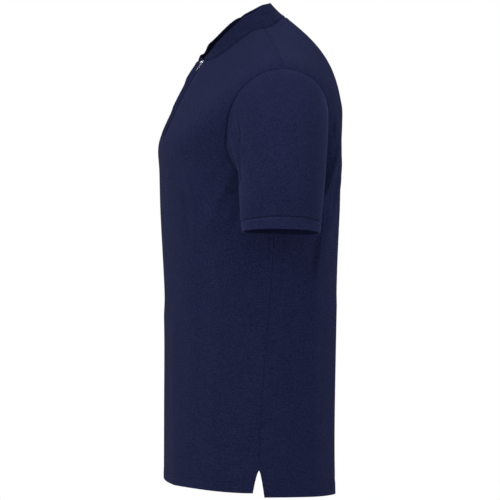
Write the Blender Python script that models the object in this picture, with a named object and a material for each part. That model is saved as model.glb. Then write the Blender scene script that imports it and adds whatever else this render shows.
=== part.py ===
"""A short-sleeved polo shirt with a band collar and a short neck zip, filled out as if worn, with nobody in it.

Millimetres in the tables, metres in the model. The origin lies between the shoulders, half way down their slope.
The wearer's left is +X, the front faces -Y and +Z is up.

Every cloth piece is a wall: a surface worked out from the tables, the same surface moved inwards by the wall's
thickness, and a rim round each free edge. Neighbouring pieces read the same surface at the same places, so the
gap along each seam stays even.
"""

import bmesh
import bpy
import numpy as np
from mathutils import Matrix, Vector

for old in list(bpy.data.objects):
    bpy.data.objects.remove(old, do_unlink=True)

MM = 0.001

# ---------------------------------------------------------------- driving sizes, in millimetres and degrees

CLOTH_WALL = 1.6  # knitted body cloth, as a wall
RIB_WALL = 2.4  # collar and sleeve bands are knitted thicker
SEAM_GAP = 0.3

# The body, level by level from the hem to the collar seam. The station is the distance from the hem along the side.
# Each level is a ring through a front, a side and a back point. Fullness squares its corners.
BODY_LEVELS = {
    # station, front y, front z, side x, side y, side z, back y, back z, fullness
    "hem": (0, -147.0, -669, 193, -29, -674, 113.0, -677, 0.05),
    "vent top": (34, -146.8, -636, 192, -29, -640, 112.4, -641, 0.05),
    "hip": (140, -146.6, -534, 190, -24, -534, 113.0, -535, 0.05),
    "waist": (250, -146.8, -424, 189, -15, -424, 115.0, -425, 0.05),
    "ribs": (365, -151.0, -314, 193, -7, -309, 117.0, -314, 0.06),
    "underarm": (460, -154.8, -230, 199, -4, -214, 119.8, -224, 0.07),
    "chest": (550, -156.2, -172, 213, 0, -124, 120.0, -150, 0.07),
    "shoulder tip": (640, -152.4, -125, 215, 5, -35, 118.6, -75, 0.07),
    "outer shoulder": (690, -136.0, -88, 171, 2, -6, 107.0, -22, 0.05),
    "inner shoulder": (742, -117.0, -50, 124, -1, 17, 76.6, 24, 0.03),
    "neck": (794, -94.0, -12, 75, -4.5, 37, 39.6, 58, 0.0),
}
UNDERARM = BODY_LEVELS["underarm"][0]
SHOULDER_TIP = BODY_LEVELS["shoulder tip"][0]
NECK = BODY_LEVELS["neck"][0]

BACK_DROP = 6.5  # the back hangs this much lower than the front
HEM_LIFT = 20.0  # the hem rides up on the right, where the photo shows it clear of the left vent
HEM_LIFT_TOP = 140.0  # up to this station
VENT_TOP = BODY_LEVELS["vent top"][0]
VENT_FRONT = 10.5  # how far each panel stands back from the side seam, at the hem
VENT_BACK = 6.5
VENT_POWER = 0.67  # each edge leaves the seam as this power of the distance from the vent's top

ARMHOLE_FRONT = np.radians(29.0)  # how far the armhole is cut into each panel, as an angle round the body
ARMHOLE_BACK = np.radians(36.5)
ARMHOLE_SQUARE = (1.9, 3.6)  # of its lower and upper half: 2 is an ellipse, and more is squarer

ZIP_SLOT = 4.0  # half the width of the slit in the front
ZIP_LIPS = (ZIP_SLOT, 9.0, 15.0)  # columns beside the slit, measured from the centre
ZIP_FOOT = 3.0  # the slit opens over this length
ZIP_RECESS = 3.4  # how deep the zip lies between its lips
ZIP_RECESS_WIDTH = 9.0
ZIP_RECESS_START = -25.0  # it begins this far below the shoulder-tip level, and is whole after its rise
ZIP_RECESS_RISE = 40.0

# Folds of the body cloth: the two ends of each, its half width, and its height, which is negative for a trough.
# Angles go round from the centre front, 90 at the wearer's left side and 180 at the centre back.
BODY_FOLDS = (
    # angle, station, angle, station, half width, height
    (158, 545, 133, 420, 15, 3.5),  # ridge behind the left arm
    (133, 420, 122, 300, 15, 3.2),
    (132, 560, 121, 455, 17, -7.0),  # hollow between that ridge and the left sleeve
    (-157, 540, -135, 415, 16, 3.5),  # the same behind the right arm
    (-131, 555, -120, 450, 17, -6.5),
    (66, 500, 52, 405, 13, 3.0),  # short drags below the armholes, at the front
    (-64, 505, -49, 420, 14, 3.0),
    (48, 360, 44, 20, 24, -3.0),  # long soft drapes that run to the hem
    (-42, 330, -48, 10, 22, -3.0),
    (17, 240, 21, -10, 20, 2.4),
    (-15, 260, -19, 0, 22, 2.2),
    (112, 330, 118, 0, 22, -3.0),
    (-108, 300, -114, 0, 22, -3.2),
    (149, 280, 152, -10, 22, 2.6),
    (-152, 260, -148, -10, 24, 2.6),
    (180, 560, 176, 120, 24, -2.4),  # down the middle of the back
    (-5, 645, -9, 792, 10, 1.5),  # the right lip of the zip stands prouder towards the collar
    (-7, 700, -9, 792, 10, 1.5),
    (-9.5, 760, -10.5, 796, 12, 3.0),
    (5, 635, 7.5, 785, 9, -2.4),  # and the left lip lies flatter
)
FOLD_RADIUS = 165.0  # turns an angle round the body into millimetres, for the folds

# The collar: its height and how it leans, from the front ends round to the back.
COLLAR_PLAN = (
    # angle, left height, right height, inwards, forwards, upwards
    (0, 5.5, 6.0, 0.00, -0.55, 1.0),
    (10, 8.6, 9.5, 0.09, -0.42, 1.0),
    (20, 12.4, 22.0, 0.17, -0.28, 1.0),
    (40, 23.8, 29.6, 0.33, -0.02, 1.0),
    (60, 26.0, 29.2, 0.45, 0.25, 1.0),
    (80, 27.8, 31.0, 0.50, 0.56, 1.0),
    (100, 34.6, 38.0, 0.47, 0.81, 1.0),
    (125, 33.4, 36.2, 0.34, 0.96, 1.0),
    (150, 32.4, 35.2, 0.19, 1.05, 1.0),
    (180, 35.0, 35.0, 0.00, 1.13, 1.0),
)

# The sleeve: where the cuff ring is and how it tilts, and how the cloth leaves the armhole.
CUFF_CENTRE = (268.0, -7.0, -264.0)
CUFF_HALF_DEPTH = 60.0
CUFF_HALF_WIDTH = 57.0
CUFF_HEIGHT = 18.0
CUFF_TAPER = 0.97
CUFF_TILT_OUT = np.radians(6.5)
CUFF_TILT_BACK = np.radians(1.6)
CUFF_SIDES_DROP = (3.0, -1.0)  # how much lower its front and back hang, at its seam and at its edge
CUFF_UNDER_RISE = 5.0  # its part under the arm is pushed up
SLEEVE_LEAVES = {
    # outwards, backwards, upwards, length at the cuff
    "underarm": (55, 0, -25, 75),
    "front": (90, 78, -85, 130),
    "top": (165, 0, -85, 225),
    "back": (90, -28, -85, 150),
}
# Folds of a sleeve: angle round it (0 under the arm, 90 front, 180 top) and share of its length, at both ends.
SLEEVE_FOLDS = (
    # side, angle, share, angle, share, half width, height
    (1, 62, 0.05, 100, 0.55, 9, -3.5),
    (1, 95, 0.02, 118, 0.42, 9, 2.5),
    (1, 255, 0.10, 275, 0.70, 12, -3.0),
    (-1, 66, 0.05, 98, 0.50, 9, -3.5),
    (-1, 100, 0.05, 125, 0.50, 10, 2.5),
    (-1, 260, 0.12, 280, 0.65, 12, -3.0),
)
SLEEVE_RADIUS = 60.0
SLEEVE_LENGTH = 190.0
SLEEVE_FULLNESS = 4.0  # how far it blouses out half way along
SLEEVE_FOLD_FADE = 0.15  # its folds fade out over this share of its length at each end

# The zip, as depths behind the cloth's outer face at the centre front.
TAPE_INNER_EDGE = 0.6
TAPE_DEPTH = CLOTH_WALL + 0.4
TAPE_WALL = 1.0
TEETH_EDGES = (0.2, 2.4)
TEETH_DEPTHS = (0.2, 1.6)
TEETH_ABOVE_NECK = 2.5
SLIDER_HALF_WIDTH = 3.5
SLIDER_LENGTH = 11.0
SLIDER_ABOVE_NECK = 6.0
SLIDER_PLATE = 1.2
SLIDER_CHANNEL = (-0.1, TAPE_DEPTH + TAPE_WALL + 0.4)
SLIDER_POST = 2.6
SLIDER_POST_INSET = (0.6, 0.3)  # the post stands in from the plates' sides and top
BRIDGE_HALF_WIDTH = 0.7
BRIDGE_FEET = (1.6, 8.4)
BRIDGE_FOOT = 1.2
BRIDGE_RISE = 1.4
BRIDGE_THICK = 0.9
BRIDGE_INSET = (0.3, 0.1)  # its span stands in from the ends and the top of its feet
PULL_AXIS = 4.8  # the hinge line, measured down from the slider's top
PULL_CLEAR = 0.3
PULL_BAR = 0.8
PULL_EYE = (1.05, 4.6)
PULL_HALF_WIDTH = 2.3
PULL_LENGTH = 16.0
PULL_ARM_INSET = (0.1, 0.05)  # its arms are a little narrower and thinner than its ends
JOIN = 0.2  # blocks of one piece reach this far into each other

# How finely the walls are divided.
LOWER_ROWS = (0, 12, 24, VENT_TOP, 92, 156, 220, 284, 345, 403)
ARMHOLE_ROWS = 12
ARMHOLE_CROWDING = 1.35
SHOULDER_ROWS = 5
FRONT_COLUMNS = 10
BACK_COLUMNS = 11  # on each side of the centre back
EDGE_CROWDING = 2.5
SLEEVE_ROWS = 8
CUFF_ROWS = 1
COLLAR_ROWS = 3

NAVY = (0.0150, 0.0175, 0.0600, 1.0)
NAVY_RIB = (0.0130, 0.0150, 0.0500, 1.0)
TAPE_NAVY = (0.0060, 0.0070, 0.0180, 1.0)
STEEL = (0.5500, 0.5700, 0.6200, 1.0)
GUNMETAL = (0.0600, 0.0600, 0.0700, 1.0)


# ---------------------------------------------------------------- curves and surfaces


def spline(stations, values, at):
    """Natural cubic spline through the rows of values, read at each place in at."""
    stations = np.asarray(stations, float)
    values = np.asarray(values, float)
    steps = np.diff(stations)
    count = len(stations)
    system = np.eye(count)
    bend = np.zeros_like(values)
    for i in range(1, count - 1):
        system[i, i - 1 : i + 2] = steps[i - 1], 2 * (steps[i - 1] + steps[i]), steps[i]
        bend[i] = 6 * ((values[i + 1] - values[i]) / steps[i] - (values[i] - values[i - 1]) / steps[i - 1])
    bend = np.linalg.solve(system, bend)
    span = np.clip(np.searchsorted(stations, at) - 1, 0, count - 2)
    width = steps[span][..., None]
    low = (stations[span + 1] - at)[..., None] / width
    high = 1 - low
    straight = low * values[span] + high * values[span + 1]
    return straight + ((low**3 - low) * bend[span] + (high**3 - high) * bend[span + 1]) * width**2 / 6


def blend(share):
    """A smooth step from 0 to 1."""
    share = np.clip(share, 0, 1)
    return share * share * (3 - 2 * share)


def body_rings(station):
    """The ring sizes at each station, in the order of the columns of BODY_LEVELS after the station itself."""
    rows = np.array(list(BODY_LEVELS.values()), float)
    return np.moveaxis(spline(rows[:, 0], rows[:, 1:], np.asarray(station, float)), -1, 0)


def plain_body(angle, station):
    """The body without its folds. Angle 0 is the centre front and a quarter turn is the wearer's left side."""
    angle, station = np.broadcast_arrays(np.asarray(angle, float), np.asarray(station, float))
    front_y, front_z, side_x, side_y, side_z, back_y, back_z, fullness = body_rings(station)
    swell = 1 + fullness * np.sin(2 * angle) ** 2
    reach = np.abs(np.cos(angle))
    at_front = np.cos(angle) > 0
    x = side_x * np.sin(angle) * swell
    y = side_y + (np.where(at_front, front_y, back_y) - side_y) * reach * swell
    z = side_z + (np.where(at_front, front_z, back_z) - side_z) * blend(reach ** (1 + 3 * fullness))
    z = z + HEM_LIFT * np.clip(-np.sin(angle), 0, 1) ** 2 * blend(1 - station / HEM_LIFT_TOP)
    return np.stack([x, y, z], -1)


def normals(surface, u, v, hand=1.0):
    """Unit normals of a surface, as the cross product of its two slopes, turned to the outside by hand."""
    du, dv = 1e-3, 1e-2
    across = surface(u + du, v) - surface(u - du, v)
    along = surface(u, v + dv) - surface(u, v - dv)
    cross = np.cross(across, along) * hand
    return cross / np.linalg.norm(cross, axis=-1, keepdims=True)


def fold_height(arc, run, start, end, half_width, height):
    """A soft ridge or trough along the line from start to end: height * exp(-(distance / half width)^2)."""
    line = np.subtract(end, start)
    share = np.clip(((arc - start[0]) * line[0] + (run - start[1]) * line[1]) / (line @ line), 0, 1)
    distance = np.hypot(arc - start[0] - share * line[0], run - start[1] - share * line[1])
    return height * np.exp(-((distance / half_width) ** 2))


def body_relief(angle, station):
    """How far the cloth stands out from the plain body: its folds, less the recess that the zip lies in."""
    relief = np.zeros(np.broadcast(angle, station).shape)
    for angle_0, station_0, angle_1, station_1, half_width, height in BODY_FOLDS:
        turn = (np.degrees(angle) - angle_0 + 180) % 360 - 180
        end = (np.radians(angle_1 - angle_0) * FOLD_RADIUS, station_1)
        relief += fold_height(np.radians(turn) * FOLD_RADIUS, station, (0.0, station_0), end, half_width, height)
    aside = body_rings(station)[2] * np.sin(angle) / ZIP_RECESS_WIDTH
    at_front = np.cos(angle) > 0
    opens = blend((np.asarray(station) - SHOULDER_TIP - ZIP_RECESS_START) / ZIP_RECESS_RISE)
    return relief - ZIP_RECESS * at_front * opens * np.exp(-(aside**2))


def body(angle, station, depth=0.0):
    """A point of the body cloth, or of a surface that lies depth behind it."""
    out = normals(plain_body, angle, station)
    return plain_body(angle, station) + out * (body_relief(angle, station) - depth)[..., None]


def arc_to_angle(angle, station, length):
    """The angle round the body that covers a length along the ring, near the given angle."""
    step = plain_body(angle + 1e-3, station) - plain_body(angle - 1e-3, station)
    return length * 2e-3 / np.linalg.norm(step, axis=-1)


def centre_angle(station, aside):
    """The angle at which the front lies this far from the centre line."""
    return np.arcsin(aside / body_rings(station)[2])


# ---------------------------------------------------------------- edges of the panels


def armhole_cut(share):
    """How deep the armhole is at a share of its height, -1 at the underarm and 1 at the shoulder tip."""
    square = np.where(share < 0, ARMHOLE_SQUARE[0], ARMHOLE_SQUARE[1])
    return np.clip(1 - np.abs(share) ** square, 0, 1) ** (1 / square)


def armhole_turns():
    """Angles round half the armhole, from the underarm to the shoulder tip, closer together towards the tip."""
    return np.pi * (1 - np.linspace(1, 0, ARMHOLE_ROWS + 1) ** ARMHOLE_CROWDING)


def armhole_station(turn):
    """The station at an angle round the armhole, 0 at the underarm and half a turn at the shoulder tip."""
    return (UNDERARM + SHOULDER_TIP) / 2 - (SHOULDER_TIP - UNDERARM) / 2 * np.cos(turn)


def set_back(station, armhole_depth, vent_width):
    """How far a panel's edge stands back from the side and shoulder seams, as an angle."""
    seam = arc_to_angle(np.pi / 2, station, SEAM_GAP / 2)
    vent = arc_to_angle(np.pi / 2, station, vent_width * np.clip(1 - station / VENT_TOP, 0, 1.2) ** VENT_POWER)
    share = (2 * station - UNDERARM - SHOULDER_TIP) / (SHOULDER_TIP - UNDERARM)
    armhole = armhole_depth * armhole_cut(share) * (np.abs(share) <= 1)
    return np.maximum(seam, armhole) + vent


def panel_rows(first):
    """The stations of a panel's rows. Those of the armhole crowd towards its two ends, where it turns."""
    lower = np.array((first,) + LOWER_ROWS[1:], float)
    armhole = armhole_station(armhole_turns())
    shoulder = np.linspace(SHOULDER_TIP + ZIP_FOOT, NECK, SHOULDER_ROWS + 1)
    return np.concatenate([lower, armhole, shoulder])


def spread_columns(count, full, edge):
    """Angles from 0 to edge. Where an armhole cuts the edge back, the columns near it crowd and the rest stay."""
    share = np.linspace(0, 1, count + 1)
    return full * share - (full - edge) * share**EDGE_CROWDING


def front_columns(station):
    """Angles across the left half of the front at one row, from the centre or the slit's edge to the side."""
    lips = np.array(ZIP_LIPS) if station > SHOULDER_TIP else np.array((0.0,) + ZIP_LIPS[1:])
    lips = centre_angle(station, lips)
    edge = np.pi / 2 - set_back(station, ARMHOLE_FRONT, VENT_FRONT)
    rest = lips[-1] + spread_columns(FRONT_COLUMNS, np.pi / 2 - lips[-1], edge - lips[-1])
    return np.concatenate([lips, rest[1:]])


def back_columns(station):
    """Angles across the back at one row, from the left side to the right side."""
    edge = np.pi / 2 - set_back(station, ARMHOLE_BACK, VENT_BACK)
    half = spread_columns(BACK_COLUMNS, np.pi / 2, edge)
    return np.pi + np.concatenate([-half[::-1], half[1:]])


# ---------------------------------------------------------------- walls and objects


def material(name, colour, roughness, metallic=0.0):
    made = bpy.data.materials.new(name)
    made.use_nodes = True
    shader = made.node_tree.nodes["Principled BSDF"]
    shader.inputs["Base Color"].default_value = colour
    shader.inputs["Roughness"].default_value = roughness
    shader.inputs["Metallic"].default_value = metallic
    made.diffuse_color = colour
    return made


def add_object(name, mesh, look):
    mesh.materials.append(look)
    made = bpy.data.objects.new(name, mesh)
    bpy.context.collection.objects.link(made)
    return made


def grid_quads(rows, columns, closed=False, skip=None):
    """Corner numbers of a grid's quads, row by row. A closed grid joins its last column to its first."""
    across = range(columns if closed else columns - 1)
    quads = []
    for row in range(rows - 1):
        for column in across:
            if column == skip:
                continue
            beside = (column + 1) % columns
            below, above = row * columns, (row + 1) * columns
            quads.append((below + column, below + beside, above + beside, above + column))
    return quads


def add_wall(name, outer, inner, quads, look, hand=1.0):
    """One closed wall from its outer and inner points, with a rim round every free edge."""
    shape = bmesh.new()
    behind = shape.verts.layers.float_vector.new("behind")
    corners = []
    for out, back in zip(outer.reshape(-1, 3), inner.reshape(-1, 3)):
        corner = shape.verts.new(Vector(out) * MM)
        corner[behind] = Vector(back) * MM
        corners.append(corner)
    for quad in quads:
        a, b, c, d = (corners[i] for i in (quad if hand > 0 else quad[::-1]))
        if (a.co - c.co).length > (b.co - d.co).length:
            a, b, c, d = b, c, d, a
        shape.faces.new((a, b, c))
        shape.faces.new((a, c, d))
    bmesh.ops.remove_doubles(shape, verts=shape.verts, dist=1e-6)
    twin = {corner: shape.verts.new(corner[behind]) for corner in list(shape.verts)}
    faces = list(shape.faces)
    rims = [(loop.vert, loop.link_loop_next.vert) for face in faces for loop in face.loops if loop.edge.is_boundary]
    for face in faces:
        shape.faces.new([twin[corner] for corner in reversed(face.verts)])
    for first, second in rims:
        shape.faces.new((second, first, twin[first]))
        shape.faces.new((second, twin[first], twin[second]))
    for face in shape.faces:
        face.smooth = True
    mesh = bpy.data.meshes.new(name)
    shape.to_mesh(mesh)
    shape.free()
    mesh.set_sharp_from_angle(angle=np.radians(40))
    return add_object(name, mesh, look)


def add_blocks(name, blocks, place, look):
    """A hard piece made of blocks, each from its low to its high corner in the zip's own directions."""
    made = None
    for low, high in blocks:
        shape = bmesh.new()
        bmesh.ops.create_cube(shape, size=1.0)
        for corner in shape.verts:
            local = [low[i] + (high[i] - low[i]) * (corner.co[i] + 0.5) for i in range(3)]
            corner.co = place(*local)
        bmesh.ops.recalc_face_normals(shape, faces=shape.faces)
        mesh = bpy.data.meshes.new(name)
        shape.to_mesh(mesh)
        shape.free()
        block = add_object(name if made is None else "joined block", mesh, look)
        if made is None:
            made = block
            continue
        block.hide_render = True
        block.display_type = "WIRE"
        union = made.modifiers.new("join", "BOOLEAN")
        union.operation = "UNION"
        union.object = block
    return made


# ---------------------------------------------------------------- panels


def front_panel(look):
    """The front, with the slit for the zip open from the shoulder-tip level to the neck."""
    stations = panel_rows(0.0)
    halves = np.array([front_columns(station) for station in stations])
    angles = np.concatenate([-halves[:, ::-1], halves], 1)
    rows, columns = angles.shape
    station = np.broadcast_to(stations[:, None], angles.shape)
    quads = grid_quads(rows, columns, skip=columns // 2 - 1)
    add_wall("front", body(angles, station), body(angles, station, CLOTH_WALL), quads, look)


def back_panel(look):
    stations = panel_rows(-BACK_DROP)
    angles = np.array([back_columns(station) for station in stations])
    station = np.broadcast_to(stations[:, None], angles.shape)
    quads = grid_quads(*angles.shape)
    add_wall("back", body(angles, station), body(angles, station, CLOTH_WALL), quads, look)


# ---------------------------------------------------------------- sleeves and cuffs


def armhole_start(side, turn):
    """Where the sleeve's outer face begins: the armhole's edge, moved one seam gap into the hole."""

    def edge(turn):
        cut = armhole_cut(-np.cos(turn)) * np.where(np.sin(turn) >= 0, -ARMHOLE_FRONT, ARMHOLE_BACK)
        return side * (np.pi / 2 + cut), armhole_station(turn)

    step = 0.02
    along = body(*edge(turn + step)) - body(*edge(turn - step))
    inwards = np.cross(along, normals(plain_body, *edge(turn))) * side
    inwards /= np.linalg.norm(inwards, axis=-1, keepdims=True)
    return body(*edge(turn)) + inwards * SEAM_GAP


def cuff_frame(side):
    """Centre of the cuff's upper ring and its three directions: outwards, backwards and down the arm."""
    out = np.array((side * np.cos(CUFF_TILT_OUT), 0.0, np.sin(CUFF_TILT_OUT)))
    back = np.array((0.0, np.cos(CUFF_TILT_BACK), -np.sin(CUFF_TILT_BACK)))
    down = np.cross(out, back) * -side
    return np.array(CUFF_CENTRE) * (side, 1, 1), out, back, down / np.linalg.norm(down)


def cuff_ring(side, turn, distance):
    """A point of the cuff's outer face, at a distance down the arm from its upper ring."""
    centre, out, back, down = cuff_frame(side)
    share = np.clip(distance / CUFF_HEIGHT, 0, 1)
    size = 1 - (1 - CUFF_TAPER) * share
    ring = -np.cos(turn) * CUFF_HALF_WIDTH * size, -np.sin(turn) * CUFF_HALF_DEPTH * size
    drop = np.sin(turn) ** 2 * (CUFF_SIDES_DROP[0] + (CUFF_SIDES_DROP[1] - CUFF_SIDES_DROP[0]) * share)
    drop = distance + drop - CUFF_UNDER_RISE * np.clip(np.cos(turn), 0, 1) ** 2
    return centre + ring[0][..., None] * out + ring[1][..., None] * back + drop[..., None] * down


def sleeve(side):
    """The sleeve's outer face: at each angle, one cubic curve from the armhole to the cuff."""
    under, front, top, back = (np.array(SLEEVE_LEAVES[name], float) for name in ("underarm", "front", "top", "back"))

    def surface(turn, share):
        turn, share = np.broadcast_arrays(np.asarray(turn, float), np.asarray(share, float))
        weights = (
            np.clip(np.cos(turn), 0, 1) ** 2,
            np.clip(np.sin(turn), 0, 1) ** 2,
            np.clip(-np.cos(turn), 0, 1) ** 2,
            np.clip(-np.sin(turn), 0, 1) ** 2,
        )
        leave = sum(weight[..., None] * row for weight, row in zip(weights, (under, front, top, back)))
        start = armhole_start(side, turn)
        end = cuff_ring(side, turn, np.full(turn.shape, -SEAM_GAP))
        arrive = cuff_frame(side)[3] * leave[..., 3:]
        leave = leave[..., :3] * (side, 1, 1)
        s = share[..., None]
        curve = (2 * s**3 - 3 * s**2 + 1) * start + (s**3 - 2 * s**2 + s) * leave
        return curve + (3 * s**2 - 2 * s**3) * end + (s**3 - s**2) * arrive

    return surface


def sleeve_relief(side, turn, share):
    relief = np.zeros(np.broadcast(turn, share).shape)
    for fold_side, turn_0, share_0, turn_1, share_1, half_width, height in SLEEVE_FOLDS:
        if fold_side != side:
            continue
        start = np.radians(turn_0) * SLEEVE_RADIUS, share_0 * SLEEVE_LENGTH
        end = np.radians(turn_1) * SLEEVE_RADIUS, share_1 * SLEEVE_LENGTH
        relief += fold_height(turn * SLEEVE_RADIUS, share * SLEEVE_LENGTH, start, end, half_width, height)
    fade = blend(share / SLEEVE_FOLD_FADE) * blend((1 - share) / SLEEVE_FOLD_FADE)
    return relief * fade + SLEEVE_FULLNESS * np.sin(np.pi * share)


def sleeve_turns():
    """Angles round the whole armhole, in step with the rows of the front and then of the back."""
    front = armhole_turns()
    return np.concatenate([front, 2 * np.pi - front[-2:0:-1]])


def add_sleeve(name, side, look):
    turns, shares = np.meshgrid(sleeve_turns(), np.linspace(0, 1, SLEEVE_ROWS + 1))
    surface = sleeve(side)
    out = normals(surface, turns, shares, hand=-side)
    outer = surface(turns, shares) + out * sleeve_relief(side, turns, shares)[..., None]
    quads = grid_quads(*turns.shape, closed=True)
    add_wall(name, outer, outer - out * CLOTH_WALL, quads, look, hand=-side)


def add_cuff(name, side, look):
    turns, downs = np.meshgrid(sleeve_turns(), np.linspace(0, CUFF_HEIGHT, CUFF_ROWS + 1))

    def surface(turn, distance):
        return cuff_ring(side, turn, distance)

    outer = surface(turns, downs)
    inner = outer - normals(surface, turns, downs, hand=-side) * RIB_WALL
    add_wall(name, outer, inner, grid_quads(*turns.shape, closed=True), look, hand=-side)


# ---------------------------------------------------------------- collar


def collar(angle, share):
    """The collar's outer face, from the neck seam up to its top edge. Angles pass half a turn on the right side."""
    angle, share = np.broadcast_arrays(np.asarray(angle, float), np.asarray(share, float))
    plan = np.array(COLLAR_PLAN, float)
    round_front = np.degrees(np.minimum(angle, 2 * np.pi - angle))
    left, right, inwards, forwards, upwards = np.moveaxis(spline(plan[:, 0], plan[:, 1:], round_front), -1, 0)
    on_left = angle < np.pi
    lean = np.stack([np.where(on_left, -inwards, inwards), -forwards, upwards], -1)
    lean /= np.linalg.norm(lean, axis=-1, keepdims=True)
    height = np.where(on_left, left, right)
    seam = body(angle, np.full(angle.shape, float(NECK)))
    below = body(angle, np.full(angle.shape, NECK - 2.0))
    onwards = (seam - below) / np.linalg.norm(seam - below, axis=-1, keepdims=True)
    return seam + onwards * SEAM_GAP + lean * (height * share)[..., None]


def collar_angles():
    """The neck columns of both panels, so that the collar's edge keeps step with theirs."""
    left = front_columns(NECK)[:-1]
    back = back_columns(NECK)[1:-1]
    return np.concatenate([left, [np.pi / 2], back, [1.5 * np.pi], 2 * np.pi - left[::-1]])


def add_collar(look):
    angles, shares = np.meshgrid(collar_angles(), np.linspace(0, 1, COLLAR_ROWS + 1))
    outer = collar(angles, shares)
    inner = outer - normals(collar, angles, shares) * RIB_WALL
    add_wall("collar", outer, inner, grid_quads(*angles.shape), look)


# ---------------------------------------------------------------- zip


def add_tape(name, side, look):
    """A zip tape: it lies behind the front's edge and reaches the teeth."""
    stations = np.linspace(SHOULDER_TIP + ZIP_FOOT, NECK, SHOULDER_ROWS + 1)
    stations[-1] -= 1.0
    columns = (TAPE_INNER_EDGE,) + ZIP_LIPS
    angles = np.array([centre_angle(station, np.array(columns)) for station in stations]) * side
    station = np.broadcast_to(stations[:, None], angles.shape)
    outer = body(angles, station, TAPE_DEPTH)
    inner = body(angles, station, TAPE_DEPTH + TAPE_WALL)
    add_wall(name, outer, inner, grid_quads(*angles.shape), look, hand=side)


def add_teeth(name, side, look):
    """The space of one row of teeth: a bar along the zip, from its foot to inside the slider."""
    stations = np.linspace(SHOULDER_TIP + ZIP_FOOT, NECK, SHOULDER_ROWS + 1)
    stations[0] += 1.0
    stations[-1] += TEETH_ABOVE_NECK
    angles = np.array([centre_angle(station, np.array(TEETH_EDGES)) for station in stations]) * side
    station = np.broadcast_to(stations[:, None], angles.shape)
    outer = body(angles, station, TEETH_DEPTHS[0])
    inner = body(angles, station, TEETH_DEPTHS[1])
    add_wall(name, outer, inner, grid_quads(*angles.shape), look, hand=side)


def zip_place():
    """Directions at the slider: sideways, down the zip from the slider's top, and out of the cloth."""
    top = body(0.0, NECK + SLIDER_ABOVE_NECK)
    foot = body(0.0, NECK + SLIDER_ABOVE_NECK - SLIDER_LENGTH)
    down = (foot - top) / np.linalg.norm(foot - top)
    out = np.cross(np.array((1.0, 0.0, 0.0)), -down)

    def place(aside, along, height):
        return Vector(top + np.array((aside, 0.0, 0.0)) + down * along + out * height) * MM

    return place


def add_slider(look):
    """Two plates with a post between them at the top, and a bridge along the outer plate for the pull."""
    place = zip_place()
    wide = SLIDER_HALF_WIDTH
    face = -SLIDER_CHANNEL[0] + SLIDER_PLATE
    rise = face + BRIDGE_RISE
    foot_0, foot_1 = BRIDGE_FEET
    narrow = BRIDGE_HALF_WIDTH
    post_side, post_top = SLIDER_POST_INSET
    span_end, span_top = BRIDGE_INSET
    blocks = (
        ((-wide, 0, -SLIDER_CHANNEL[0]), (wide, SLIDER_LENGTH, face)),
        ((-wide, 0, -SLIDER_CHANNEL[1] - SLIDER_PLATE), (wide, SLIDER_LENGTH, -SLIDER_CHANNEL[1])),
        (
            (-wide + post_side, post_top, -SLIDER_CHANNEL[1] - JOIN),
            (wide - post_side, SLIDER_POST, -SLIDER_CHANNEL[0] + JOIN),
        ),
        ((-narrow, foot_0, face - JOIN), (narrow, foot_0 + BRIDGE_FOOT, rise + BRIDGE_THICK)),
        ((-narrow, foot_1 - BRIDGE_FOOT, face - JOIN), (narrow, foot_1, rise + BRIDGE_THICK)),
        ((-narrow, foot_0 + span_end, rise), (narrow, foot_1 - span_end, rise + BRIDGE_THICK - span_top)),
    )
    return add_blocks("zip_slider", blocks, place, look)


def add_pull(look):
    """The pull tab. Its top bar lies under the slider's bridge, and it turns about that bar."""
    place = zip_place()
    low = -SLIDER_CHANNEL[0] + SLIDER_PLATE + PULL_CLEAR
    high = low + PULL_BAR
    wide = PULL_HALF_WIDTH
    eye_wide, eye_long = PULL_EYE
    first = PULL_AXIS - PULL_BAR / 2
    eye_end = PULL_AXIS + eye_long
    arm_side, arm_face = PULL_ARM_INSET
    blocks = (
        ((-wide, first, low), (wide, PULL_AXIS + PULL_BAR / 2, high)),
        ((-wide + arm_side, PULL_AXIS, low + arm_face), (-eye_wide, eye_end + JOIN, high - arm_face)),
        ((eye_wide, PULL_AXIS, low + arm_face), (wide - arm_side, eye_end + JOIN, high - arm_face)),
        ((-wide, eye_end, low), (wide, PULL_AXIS + PULL_LENGTH, high)),
    )
    made = add_blocks("zip_pull", blocks, place, look)
    hinge = place(0.0, PULL_AXIS, (low + high) / 2)
    made.data.transform(Matrix.Translation(-hinge))
    made.location = hinge
    return made


# ---------------------------------------------------------------- the shirt

cloth = material("knitted navy", NAVY, 0.85)
rib = material("knitted rib", NAVY_RIB, 0.88)
tape = material("zip tape", TAPE_NAVY, 0.8)
steel = material("bright metal", STEEL, 0.25, 1.0)
dark_metal = material("dark metal", GUNMETAL, 0.35, 1.0)

front_panel(cloth)
back_panel(cloth)
for side_name, side_sign in (("left", 1.0), ("right", -1.0)):
    add_sleeve("sleeve_" + side_name, side_sign, cloth)
    add_cuff("cuff_" + side_name, side_sign, rib)
    add_tape("zip_tape_" + side_name, side_sign, tape)
    add_teeth("zip_teeth_" + side_name, side_sign, tape)
add_collar(rib)
add_slider(steel)
add_pull(dark_metal)
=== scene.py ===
# %% [markdown]
# # A short-sleeved shirt with a band collar and a short neck zip
# The shirt is dark navy cotton knit. It stands as if somebody wore it, with nobody in it, so that every piece is a
# thin curved sheet and you can look in at the neck, the hem and both cuffs.
# Each cell below makes one piece or one finish. All the shapes are formulas over a grid of numbers, worked out with
# numpy as whole arrays, and only the finished points are handed to Blender.

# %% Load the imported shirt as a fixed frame
from functools import partial

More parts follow.
